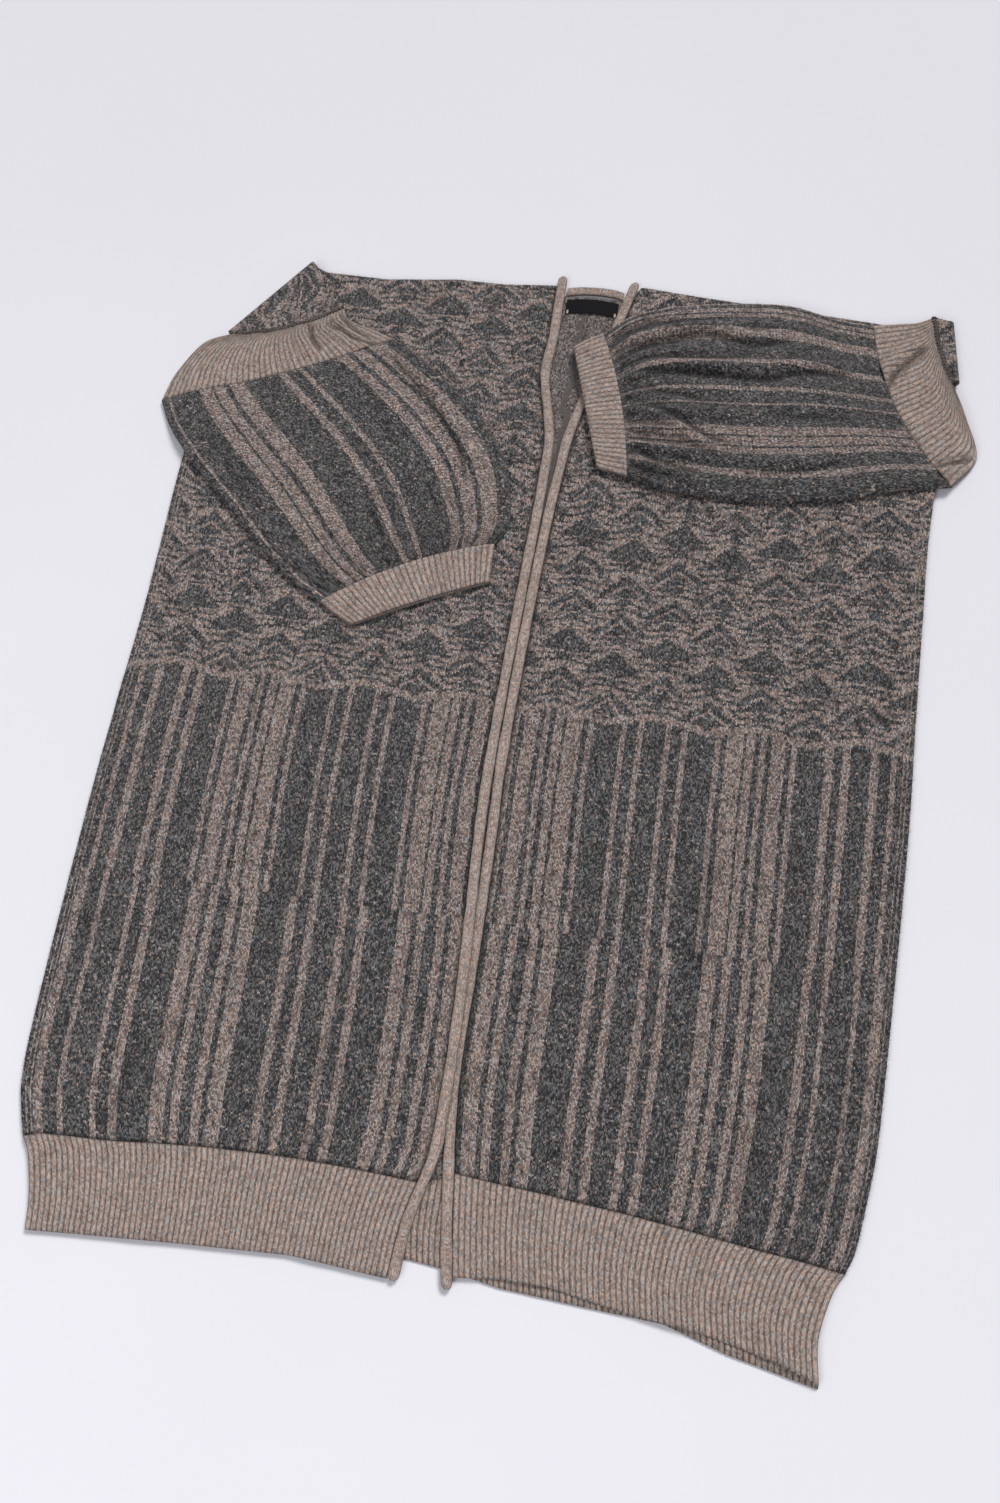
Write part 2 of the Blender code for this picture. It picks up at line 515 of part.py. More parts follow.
def build_front_trim(name, hand, band, edge):
    """Front band: runs along a front's edge from the hem up to the back of the neck."""
    knots = edge - [hand * (TRIM_WIDTH / 20 + SEAM_GAP / 10), 0.0]
    ends_y = np.array([TRIM_LINE[0].y, TRIM_LINE[-1].y])
    ends = np.column_stack([trim_x(ends_y, band), ends_y])
    knots = np.vstack([ends[:1], knots, ends[1:]])
    middles = (knots[:-1] + knots[1:]) / 2
    line = np.empty((2 * len(knots) - 1, 2))
    line[0::2] = knots
    line[1::2] = middles
    build_trim(name, line, np.array([1.0, 0.0]), front_rest(line[:, 0], line[:, 1], band))


def build_neck_trim():
    """Back neck band: the short curved stretch between the two front bands."""
    line = smooth_curve(NECK_LINE, NECK_STATIONS)
    build_trim("back_neck_band", line, np.array([0.0, 1.0]), np.zeros(NECK_STATIONS))


def build_label():
    """Label: a plain woven tab, bowed a little, on the inside of the back below the neck."""
    across = np.linspace(-1.0, 1.0, LABEL_COLUMNS + 1)
    sag = LABEL_SAG_CM * (1 - across ** 2)
    rows = []
    for end in (-0.5, 0.5):
        x = LABEL_MIDDLE.x + across * LABEL_WIDTH_CM / 2
        y = LABEL_MIDDLE.y + end * LABEL_DEPTH_CM + sag
        rows.append(np.column_stack([x, y]))
    grid = np.stack(rows)
    low = np.full(grid.shape[:2], WALL + SEAM_GAP)
    upper = np.dstack([grid, low + LABEL_THICK]).reshape(-1, 3)
    lower = np.dstack([grid, low]).reshape(-1, 3)
    ids = np.arange(len(upper)).reshape(grid.shape[:2])
    add_piece("label", *closed_wall(upper, lower, quads(ids)), BLACK_LABEL)


def tube_shares(top_columns, width_mm):
    """Return the place across and the side, 1 above and -1 below, of each point of a section."""
    edge = np.array([0.0, TUBE_EDGE_MIDDLE, 1.0]) * TUBE_EDGE_MM / width_mm
    top_inner = np.linspace(edge[-1], 1 - edge[-1], top_columns + 1)
    top = np.concatenate([edge[:-1], top_inner, 1 - edge[:-1][::-1]])
    under_inner = np.linspace(edge[-1], 1 - edge[-1], TUBE_UNDER_COLUMNS + 1)
    under = np.concatenate([edge[1:-1], under_inner, 1 - edge[1:-1][::-1]])[::-1]
    shares = np.concatenate([top, under])
    sides = np.concatenate([np.ones(len(top)), -np.ones(len(under))])
    return shares, sides


def edge_round(shares, width_mm):
    """Return 0 at a section's two edges and 1 where its edge rounding ends."""
    inset = np.minimum(shares, 1 - shares) * width_mm / TUBE_EDGE_MM
    return np.sqrt(np.clip(1 - (1 - np.clip(inset, 0.0, 1.0)) ** 2, 0.0, 1.0))


def gather_height(gathers, shares, station):
    """Return the height of the soft lengthwise folds that run up from the cuff."""
    from_cuff = 1 - station
    total = np.zeros_like(shares)
    for gather in gathers:
        middle = gather.at_cuff + (gather.at_far - gather.at_cuff) * from_cuff
        fade = 1 - smooth_step(GATHER_FADE_FROM * gather.reach, gather.reach, from_cuff)
        start = smooth_step(0.0, GATHER_START, from_cuff)
        ridge = np.clip(1 - ((shares - middle) / gather.width) ** 2, 0.0, 1.0) ** 2
        total = total + gather.height_mm * fade * start * ridge
    return total


def build_tube(name, sections, stations, top_columns, finish, ribs=False, gathers=()):
    """Sleeve, armhole band or cuff: a flattened tube of cloth through its table of sections.

    The upper and lower walls part by air_mm in the middle, the lower one arches by rise_mm,
    and both meet in a rounded edge at either side.
    """
    rows = smooth_curve(sections, stations)
    places_along = np.linspace(0.0, 1.0, stations)
    width_mm = 10 * np.mean([np.hypot(row.bx - row.ax, row.by - row.ay) for row in sections])
    shares, sides = tube_shares(top_columns, width_mm)
    rounding = edge_round(shares, width_mm)
    dome = np.sqrt(4 * shares * (1 - shares))
    rib = np.zeros(len(shares))
    if ribs:
        count = top_columns + 1
        rib[2:2 + count] = (np.arange(count) % 2) * RIB_HEIGHT
    outer_radius = WALL + SEAM_GAP / 2
    inner_radius = SEAM_GAP / 2
    outer_rows = []
    inner_rows = []
    for index, row in enumerate(rows):
        section = Section(*row)
        trimmed = (SEAM_GAP / 2) * ((index == 0) - 1.0 * (index == stations - 1))
        width = 10 * np.hypot(section.bx - section.ax, section.by - section.ay)
        inner_shares = WALL / width + shares * (1 - 2 * WALL / width)
        folds = gather_height(gathers, shares, places_along[index])
        rise = section.rise_mm * dome + GATHER_SHARE_BELOW * folds
        lift = (section.rise_mm + section.air_mm) * dome + folds
        centre = section.rest_mm + outer_radius
        for radius, places, relief, skin in ((outer_radius, shares, rib, outer_rows),
                                             (inner_radius, inner_shares, 0.0, inner_rows)):
            plan = seam_line(section, places, back=-trimmed)
            above = centre + (radius + lift) * rounding + relief
            below = centre - (radius - rise) * rounding
            height = np.where(sides > 0, above, below) - sink(plan[:, 0])
            skin.append(np.column_stack([plan, height]))
    outer = np.vstack(outer_rows)
    inner = np.vstack(inner_rows)
    ids = np.arange(len(outer)).reshape(stations, -1)
    faces = quads(np.column_stack([ids, ids[:, :1]]))
    add_piece(name, *closed_wall(outer, inner, faces), finish)


def clear_scene():
    """Remove whatever objects the scene holds."""
    for item in list(bpy.data.objects):
        bpy.data.objects.remove(item, do_unlink=True)


def build_cardigan():
    """Build every piece, from the back upwards."""
    clear_scene()
    build_back_hem(build_back())
    for hand, way, side, hem_side, fold, section in (
            ("right", -1, BODY_SIDE_RIGHT, HEM_SIDE_RIGHT, SHOULDER_FOLD_RIGHT, RIGHT_BAND_SECTIONS[0]),
            ("left", 1, BODY_SIDE_LEFT, HEM_SIDE_LEFT, SHOULDER_FOLD_LEFT, LEFT_BAND_SECTIONS[0])):
        band = hand + "_band"
        seam, edge = build_front(hand + "_front", side, fold, way, band, section)
        hem_edge = build_front_hem(hand + "_front_hem", hem_side, way, band, seam)
        build_front_trim(hand + "_front_band", way, band, np.vstack([hem_edge, edge]))
    build_neck_trim()
    build_label()
    for hand, bands, sleeves, cuffs, gathers in (
            ("right", RIGHT_BAND_SECTIONS, RIGHT_SLEEVE_SECTIONS, RIGHT_CUFF_SECTIONS, RIGHT_GATHERS),
            ("left", LEFT_BAND_SECTIONS, LEFT_SLEEVE_SECTIONS, LEFT_CUFF_SECTIONS, LEFT_GATHERS)):
        band = hand + "_armhole_band"
        cuff = hand + "_cuff"
        build_tube(band, bands, BAND_STATIONS, 2 * RIBS[band], TAUPE_RIB, ribs=True)
        build_tube(hand + "_sleeve", sleeves, SLEEVE_STATIONS, SLEEVE_TOP_COLUMNS, CHARCOAL_KNIT,
                   gathers=gathers)
        build_tube(cuff, cuffs, CUFF_STATIONS, 2 * RIBS[cuff], TAUPE_RIB, ribs=True)


build_cardigan()
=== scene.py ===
"""Kimono cardigan in wool knit, laid flat with its balloon sleeves folded over the fronts.

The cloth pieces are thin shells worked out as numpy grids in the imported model's own frame.
Plan tables are in centimetres and heights in millimetres, as their names say. Left and right
in the piece names are the wearer's, so the right front lies on the -X side.
"""

import logging
import math
from dataclasses import dataclass, field
from enum import Enum
from typing import Iterable, Mapping, Sequence

import bpy
import numpy as np
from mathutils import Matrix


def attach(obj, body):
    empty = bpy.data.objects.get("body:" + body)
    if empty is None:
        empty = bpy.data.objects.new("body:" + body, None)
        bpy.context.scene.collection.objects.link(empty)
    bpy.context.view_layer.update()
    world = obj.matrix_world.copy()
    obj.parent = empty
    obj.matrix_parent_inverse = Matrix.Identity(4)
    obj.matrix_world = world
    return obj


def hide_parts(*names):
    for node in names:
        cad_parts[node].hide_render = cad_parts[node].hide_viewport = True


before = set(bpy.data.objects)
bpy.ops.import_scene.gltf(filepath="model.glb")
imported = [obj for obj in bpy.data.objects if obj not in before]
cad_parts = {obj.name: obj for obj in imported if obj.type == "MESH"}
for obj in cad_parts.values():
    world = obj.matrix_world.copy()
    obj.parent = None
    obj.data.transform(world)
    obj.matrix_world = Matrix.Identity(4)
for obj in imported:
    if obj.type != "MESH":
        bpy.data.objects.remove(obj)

LOG = logging.getLogger("cardigan")
BODY = "root"
CM = 0.01
MM = 0.001

# The tables' own point that is the frame's origin.
MIDDLE_X_CM = -0.39
MIDDLE_Y_CM = -4.30

# Cloth and stacking heights, in millimetres.
WALL = 2.4
SEAM_GAP = 0.3
FRONT_REST = WALL + SEAM_GAP
SLEEVE_REST = 2 * (WALL + SEAM_GAP)
FOLD_CENTRE = SLEEVE_REST - SEAM_GAP / 2
TRIM_WIDTH = 9.0
TRIM_THICK = 4.0
CROSSING_LIFT = TRIM_THICK + 0.6
STITCH_WIDE_CM = 0.235
STITCH_TALL_CM = 0.165
# A crease's trough this deep is shaded in full.
DARK_TROUGH_MM = 2.6


class Hand(Enum):
    """The wearer's side that a piece is on, with its direction along X."""

    RIGHT = -1
    LEFT = 1

    @property
    def word(self) -> str:
        """Return the side's name as the pieces use it."""
        return self.name.lower()


class Slot(Enum):
    """The record's material slots."""

    PATTERNED = "patterned_knit"
    RIB = "taupe_rib"
    TRIM = "taupe_trim"
    TAPE = "black_tape"


# Curves and eased steps on whole arrays.


def smooth_step(low: float | np.ndarray, high: float | np.ndarray, value: np.ndarray) -> np.ndarray:
    """Return 0 below low, 1 above high and 3t^2 - 2t^3 between.

    Args:
        low: Where the step starts.
        high: Where it ends.
        value: The values to step.

    Returns:
        The eased step of each value.
    """
    share = np.clip((value - low) / (high - low), 0.0, 1.0)
    return share * share * (3.0 - 2.0 * share)


def bell(distance: np.ndarray, width: float | np.ndarray) -> np.ndarray:
    """Return exp(-(distance / width)^2)."""
    return np.exp(-(distance / width) ** 2)


def quarter_round(share: np.ndarray) -> np.ndarray:
    """Return a quarter circle that rises from 0 at share 0 to 1 at share 1: sqrt(1 - (1 - s)^2)."""
    return np.sqrt(np.clip(1.0 - (1.0 - np.clip(share, 0.0, 1.0)) ** 2, 0.0, 1.0))


def blunted(value: np.ndarray, power: float) -> np.ndarray:
    """Return sign(v) * |v|^power."""
    return np.sign(value) * np.abs(value) ** power


def rib_round(phase: np.ndarray) -> np.ndarray:
    """Return the relief of a row of ribs: with p from -1 to 1 across each, sqrt(1 - (0.97p)^2)."""
    place = (phase % 1.0) * 2.0 - 1.0
    return np.sqrt(np.clip(1.0 - (0.97 * place) ** 2, 0.0, 1.0))


def rib_valley(phase: np.ndarray) -> np.ndarray:
    """Return how deep in the valley between two ribs each place is: |p|^3."""
    return np.abs((phase % 1.0) * 2.0 - 1.0) ** 3


def travelled(points: np.ndarray) -> np.ndarray:
    """Return how far along a line each of its points is, over their first two columns."""
    return np.concatenate([[0.0], np.cumsum(np.hypot(*np.diff(points[:, :2], axis=0).T))])


def smooth_curve(points: Sequence[Sequence[float]], count: int) -> np.ndarray:
    """Return points evenly spaced along a Catmull-Rom curve through the given ones.

    Args:
        points: The knots, a row each; the spacing is measured over their first two columns.
        count: How many points to return.

    Returns:
        An array with count rows and the knots' columns.
    """
    knots = np.array(points, dtype=float)
    ends = (2 * knots[:1] - knots[1:2], 2 * knots[-1:] - knots[-2:-1])
    padded = np.vstack([ends[0], knots, ends[1]])
    share = np.linspace(0.0, 1.0, 24, endpoint=False)[None, :, None]
    p0, p1, p2, p3 = (padded[i:len(padded) - 3 + i, None, :] for i in range(4))
    bend = 2 * p0 - 5 * p1 + 4 * p2 - p3
    twist = 3 * p1 - p0 - 3 * p2 + p3
    fine = 0.5 * (2 * p1 + (p2 - p0) * share + bend * share ** 2 + twist * share ** 3)
    fine = np.vstack([fine.reshape(-1, knots.shape[1]), knots[-1:]])
    run = travelled(fine)
    wanted = np.linspace(0.0, run[-1], count)
    return np.stack([np.interp(wanted, run, column) for column in fine.T], axis=1)


def read_line(table: Sequence[tuple[float, float]], x: np.ndarray) -> np.ndarray:
    """Return y of a left-to-right line of points at each x."""
    line = np.array(table, dtype=float)
    return np.interp(x, line[:, 0], line[:, 1])


def across_line(table: Sequence[tuple[float, float]], start: float, end: float,
                shares: np.ndarray) -> np.ndarray:
    """Return the points of a left-to-right line at shares of the way from x start to x end."""
    x = start + shares * (end - start)
    return np.column_stack([x, read_line(table, x)])


def lumps(x: np.ndarray, y: np.ndarray, seed: int, height: float, wave: tuple[float, float]) -> np.ndarray:
    """Return soft unevenness: a sum of sine waves that run in all directions.

    Args:
        x: Plan x in centimetres.
        y: Plan y in centimetres.
        seed: Which unevenness.
        height: About how high it is.
        wave: Its shortest and longest wave, in centimetres.

    Returns:
        The height of each point, about zero on average.
    """
    rng = np.random.default_rng(seed)
    total = np.zeros_like(x)
    for _ in range(14):
        angle = rng.uniform(0.0, 2 * math.pi)
        length = rng.uniform(*wave)
        phase = rng.uniform(0.0, 2 * math.pi)
        total = total + np.sin((x * math.cos(angle) + y * math.sin(angle)) * 2 * math.pi / length + phase)
    return total * height / 4.0


@dataclass(frozen=True)
class Crease:
    """A soft fold along a plan path: a trough with a ridge on its right-hand side."""

    path: tuple[tuple[float, float], ...]
    trough_mm: float
    ridge_mm: float
    width_cm: float
    taper: float = 0.35

    def shape(self, x: np.ndarray, y: np.ndarray) -> tuple[np.ndarray, np.ndarray]:
        """Return what the fold adds at each point, in millimetres, and its share of shade.

        The height is a taper along the path times ridge * exp(-((d - 1.5w) / 1.2w)^2) minus
        trough * exp(-(d / w)^2), where d is the signed distance to the path and w its width.
        The shade is the taper times exp(-(2.2d / w)^2), more for a deeper trough.

        Args:
            x: Plan x in centimetres.
            y: Plan y in centimetres.

        Returns:
            The height and the shade of each point.
        """
        path = smooth_curve(self.path, 18)
        steps = len(path) - 1
        nearest = np.full(x.shape, np.inf)
        signed = np.zeros(x.shape)
        run = np.zeros(x.shape)
        for index, (start, end) in enumerate(zip(path[:-1], path[1:])):
            way = end - start
            along = ((x - start[0]) * way[0] + (y - start[1]) * way[1]) / (way @ way)
            held = np.clip(along, 0.0, 1.0)
            gap = np.hypot(x - start[0] - held * way[0], y - start[1] - held * way[1])
            side = np.where((x - start[0]) * way[1] - (y - start[1]) * way[0] > 0, 1.0, -1.0)
            closer = gap < nearest
            nearest = np.where(closer, gap, nearest)
            signed = np.where(closer, gap * side, signed)
            run = np.where(closer, (index + held) / steps, run)
        ends = smooth_step(0.0, self.taper, run) * smooth_step(0.0, self.taper, 1.0 - run)
        trough = self.trough_mm * bell(signed, self.width_cm)
        ridge = self.ridge_mm * bell(signed - 1.5 * self.width_cm, 1.2 * self.width_cm)
        shade = ends * bell(2.2 * signed, self.width_cm) * min(1.0, self.trough_mm / DARK_TROUGH_MM)
        return ends * (ridge - trough), shade


def crease_shape(creases: Iterable[Crease], x: np.ndarray, y: np.ndarray) -> tuple[np.ndarray, np.ndarray]:
    """Add up creases.

    Args:
        creases: The soft folds.
        x: Plan x in centimetres.
        y: Plan y in centimetres.

    Returns:
        What they all add at each point, in millimetres, and their deepest shade.
    """
    total = np.zeros_like(x)
    shade = np.zeros_like(x)
    for crease in creases:
        height, depth = crease.shape(x, y)
        total = total + height
        shade = np.maximum(shade, depth)
    return total, shade


# Walls of cloth as meshes.


def quads(ids: np.ndarray) -> np.ndarray:
    """Return the four-cornered faces between neighbouring rows and columns of numbers."""
    return np.stack([ids[:-1, :-1], ids[:-1, 1:], ids[1:, 1:], ids[1:, :-1]], axis=-1).reshape(-1, 4)


def corner_values(grid: np.ndarray) -> np.ndarray:
    """Return a grid's values at the corners of the faces that quads makes, in the same order."""
    corners = (grid[:-1, :-1], grid[:-1, 1:], grid[1:, 1:], grid[1:, :-1])
    return np.stack(corners, axis=2).reshape(-1, 4, grid.shape[-1])


def number_grid(rows: int, columns: int) -> np.ndarray:
    """Return the numbers of a grid's points, row by row."""
    return np.arange(rows * columns).reshape(rows, columns)


def make_piece(name: str, points: np.ndarray, faces: np.ndarray, corners: np.ndarray,
               materials: Sequence[bpy.types.Material], marks: Mapping[str, np.ndarray],
               smooth: bool = True) -> bpy.types.Object:
    """Make an object at the origin from whole arrays.

    Args:
        name: The object's name.
        points: Its points, in metres.
        faces: The point numbers of each face.
        corners: The cloth coordinates of each face's corners.
        materials: Its materials.
        marks: Values of its points, by the names that materials read.
        smooth: Whether its faces are shaded smooth.

    Returns:
        The object.
    """
    mesh = bpy.data.meshes.new(name)
    mesh.from_pydata(points.tolist(), [], faces.tolist())
    layer = mesh.uv_layers.new(name="cloth")
    layer.data.foreach_set("uv", corners.reshape(-1).astype(np.float32))
    for mark, values in marks.items():
        attribute = mesh.attributes.new(mark, "FLOAT", "POINT")
        attribute.data.foreach_set("value", values.astype(np.float32))
    mesh.polygons.foreach_set("use_smooth", np.full(len(faces), smooth))
    for material in materials:
        mesh.materials.append(material)
    mesh.update()
    piece = bpy.data.objects.new(name, mesh)
    bpy.context.scene.collection.objects.link(piece)
    return piece


@dataclass
class Shell:
    """A wall of cloth: two skins of points over the same faces, with cloth coordinates.

    chart holds each point's place on the knitted cloth in centimetres, and corners the same
    for each face's corners, which differ from it only where a tube closes on itself.
    """

    upper: np.ndarray
    lower: np.ndarray
    faces: np.ndarray
    chart: np.ndarray
    corners: np.ndarray
    marks: dict[str, np.ndarray] = field(default_factory=dict)

    @classmethod
    def over_grid(cls, plan: np.ndarray, low: np.ndarray, high: np.ndarray, chart: np.ndarray) -> "Shell":
        """Return the wall over an open grid of plan points.

        Args:
            plan: The plan points, in centimetres.
            low: The underside's heights, in millimetres.
            high: The upper side's heights.
            chart: The points' places on the cloth.

        Returns:
            The wall.
        """
        ids = number_grid(*plan.shape[:2])
        return cls(np.dstack([plan, high]).reshape(-1, 3), np.dstack([plan, low]).reshape(-1, 3),
                   quads(ids), chart.reshape(-1, 2), corner_values(chart))

    @classmethod
    def round_grid(cls, outer: np.ndarray, inner: np.ndarray, chart: np.ndarray) -> "Shell":
        """Return the wall of a tube.

        Args:
            outer: The outer skin's points, a ring in each row.
            inner: The inner skin's points.
            chart: Their places on the cloth, with one column more, where the rings close.

        Returns:
            The wall.
        """
        ids = number_grid(*outer.shape[:2])
        closed = np.column_stack([ids, ids[:, :1]])
        return cls(outer.reshape(-1, 3), inner.reshape(-1, 3), quads(closed),
                   chart[:, :-1].reshape(-1, 2), corner_values(chart))

    def rim(self) -> np.ndarray:
        """Find the free edges of the skin.

        Returns:
            Each edge's two point numbers, in its face's order.
        """
        starts = self.faces.ravel()
        ends = np.roll(self.faces, -1, axis=1).ravel()
        keys = np.minimum(starts, ends) * (len(self.upper) + 1) + np.maximum(starts, ends)
        _, first, uses = np.unique(keys, return_index=True, return_counts=True)
        single = first[uses == 1]
        return np.stack([starts[single], ends[single]], axis=1)

    def to_object(self, name: str, materials: Sequence[bpy.types.Material]) -> bpy.types.Object:
        """Make the closed mesh: both skins and the rim between them, faces out.

        Args:
            name: The object's name.
            materials: The upper skin's material, and the lower skin's if it differs.

        Returns:
            The new object, at the origin.
        """
        count = len(self.upper)
        rim = self.rim()
        edge = np.column_stack([rim[:, 1], rim[:, 0], rim[:, 0] + count, rim[:, 1] + count])
        faces = np.vstack([self.faces, self.faces[:, ::-1] + count, edge])
        chart = np.vstack([self.chart, self.chart])
        corners = np.concatenate([self.corners, self.corners[:, ::-1], chart[edge]])
        points = to_metres(np.vstack([self.upper, self.lower]))
        if signed_volume(points, faces) < 0:
            faces = faces[:, ::-1]
            corners = corners[:, ::-1]
        marks = {mark: np.concatenate([values, values]) for mark, values in self.marks.items()}
        piece = make_piece(name, points, faces, corners, materials, marks)
        if len(materials) > 1:
            index = np.zeros(len(faces), dtype=np.int32)
            index[len(self.faces):2 * len(self.faces)] = 1
            piece.data.polygons.foreach_set("material_index", index)
            piece.data.update()
        return piece


@dataclass(frozen=True)
class Nap:
    """Loose fibres that stand off a knit, as one slim triangle each, more of them at its edges."""

    count: int
    edge_count: int
    seed: int
    longest: float = 0.0034
    thick: float = 0.00016
    edge_drop: float = 0.0008

    def build(self, shell: Shell, name: str, material: bpy.types.Material) -> bpy.types.Object:
        """Grow the fibres from a wall's upper skin.

        Each fibre starts at a random place of a random face, weighted by the faces' areas, or
        on the free edge, and leans out by a random share of the face's normal and of a random
        direction across it. Its corners all have its root's cloth coordinates.

        Args:
            shell: The wall.
            name: The new object's name.
            material: The wall's material.

        Returns:
            The fibres' object.
        """
        rng = np.random.default_rng(self.seed)
        roots, charts, lean = self.roots(shell, rng)
        total = len(roots)
        turn = rng.uniform(0.0, 2 * math.pi, total)
        flat = np.column_stack([np.cos(turn), np.sin(turn), np.zeros(total)])
        way = flat + lean * rng.uniform(0.05, 0.55, (total, 1))
        length = self.longest * rng.uniform(0.35, 1.0, (total, 1)) ** 1.5
        tips = roots + way * length
        across = np.column_stack([-np.sin(turn), np.cos(turn), np.zeros(total)]) * self.thick / 2
        vertices = np.stack([roots - across, roots + across, tips], axis=1).reshape(-1, 3)
        faces = np.arange(3 * total).reshape(-1, 3)
        return make_piece(name, vertices, faces, np.repeat(charts, 3, axis=0), (material,), {}, smooth=False)

    def roots(self, shell: Shell, rng: np.random.Generator) -> tuple[np.ndarray, np.ndarray, np.ndarray]:
        """Pick where the fibres start.

        Args:
            shell: The wall.
            rng: The source of the random draws.

        Returns:
            Each fibre's root in metres, its cloth coordinates and the direction that it leans in.
        """
        points = to_metres(shell.upper)
        corners = points[shell.faces]
        normals = np.cross(corners[:, 2] - corners[:, 0], corners[:, 3] - corners[:, 1])
        areas = np.linalg.norm(normals, axis=1) + 1e-12
        normals = normals / areas[:, None]
        up = np.array([0.0, 0.0, 1.0])
        picked = rng.choice(len(areas), self.count, p=areas / areas.sum())
        s, t = rng.random((2, self.count, 1))
        weights = np.concatenate([(1 - s) * (1 - t), s * (1 - t), s * t, (1 - s) * t], axis=1)
        roots = np.einsum("nc,nck->nk", weights, corners[picked])
        charts = np.einsum("nc,nck->nk", weights, shell.corners[picked])
        lean = normals[picked] * np.sign(normals[picked] @ up)[:, None]
        rim = shell.rim()
        edge = rim[rng.integers(0, len(rim), self.edge_count)]
        share = rng.random((self.edge_count, 1))
        edge_roots = points[edge[:, 0]] * (1 - share) + points[edge[:, 1]] * share
        roots = np.vstack([roots, edge_roots - up * self.edge_drop])
        charts = np.vstack([charts, shell.chart[edge[:, 0]]])
        return roots, charts, np.vstack([lean, np.tile(up, (self.edge_count, 1))])


def to_metres(points: np.ndarray) -> np.ndarray:
    """Return table points, plan in centimetres and height in millimetres, in the frame's metres."""
    return (points - [MIDDLE_X_CM, MIDDLE_Y_CM, 0.0]) * [CM, CM, MM]


def signed_volume(points: np.ndarray, faces: np.ndarray) -> float:
    """Add up the volume inside a closed mesh.

    Args:
        points: Its points.
        faces: Its four-cornered faces.

    Returns:
        The volume, below zero if the faces point inwards.
    """
    total = 0.0
    for second, third in ((1, 2), (2, 3)):
        a, b, c = (points[faces[:, corner]] for corner in (0, second, third))
        total += float(np.einsum("ij,ij->i", a, np.cross(b, c)).sum())
    return total / 6.0


def add_to_frame(piece: bpy.types.Object, nodes: Sequence[str] = ()) -> None:
    """Let a piece ride on the body and report it.

    Args:
        piece: The piece.
        nodes: The solids that it stands for.
    """
    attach(piece, BODY)
    if nodes:
        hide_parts(*nodes)
    LOG.info("%s: %d faces", piece.name, len(piece.data.polygons))


# Shader nodes written as expressions.


class Wire:
    """A shader output that adds Math nodes when it is used in arithmetic."""

    def __init__(self, graph: "Graph", socket: bpy.types.NodeSocket) -> None:
        """Keep the graph and the output."""
        self.graph = graph
        self.socket = socket

    def math(self, operation: str, *others: "Wire | float", clamp: bool = False) -> "Wire":
        """Return a Math node's result with this output as its first value."""
        inputs = dict(enumerate((self, *others)))
        return self.graph.add("ShaderNodeMath", {"operation": operation, "use_clamp": clamp}, inputs)

    def __add__(self, other: "Wire | float") -> "Wire":
        """Return the sum."""
        return self.math("ADD", other)

    __radd__ = __add__

    def __mul__(self, other: "Wire | float") -> "Wire":
        """Return the product."""
        return self.math("MULTIPLY", other)

    __rmul__ = __mul__

    def __sub__(self, other: "Wire | float") -> "Wire":
        """Return the difference."""
        return self.math("SUBTRACT", other)

    def __rsub__(self, other: float) -> "Wire":
        """Return the reflected difference."""
        return self.graph.add("ShaderNodeMath", {"operation": "SUBTRACT"}, {0: other, 1: self})

    def __truediv__(self, other: "Wire | float") -> "Wire":
        """Return the quotient."""
        return self.math("DIVIDE", other)

    def __rtruediv__(self, other: float) -> "Wire":
        """Return the reflected quotient."""
        return self.graph.add("ShaderNodeMath", {"operation": "DIVIDE"}, {0: other, 1: self})

    def floor(self) -> "Wire":
        """Return the whole part."""
        return self.math("FLOOR")

    def part(self) -> "Wire":
        """Return the part after the point."""
        return self.math("FRACT")

    def size(self) -> "Wire":
        """Return the absolute value."""
        return self.math("ABSOLUTE")

    def folded(self, half: float) -> "Wire":
        """Return the distance to the nearest even multiple of half."""
        return self.math("PINGPONG", half)

    def over(self, limit: "Wire | float") -> "Wire":
        """Return 1 where this is greater than the limit, and else 0."""
        return self.math("GREATER_THAN", limit)

    def under(self, limit: "Wire | float") -> "Wire":
        """Return 1 where this is less than the limit, and else 0."""
        return self.math("LESS_THAN", limit)

    def most(self, other: "Wire | float") -> "Wire":
        """Return the greater of two values."""
        return self.math("MAXIMUM", other)

    def held(self) -> "Wire":
        """Return this held between 0 and 1."""
        return self.math("ADD", 0.0, clamp=True)


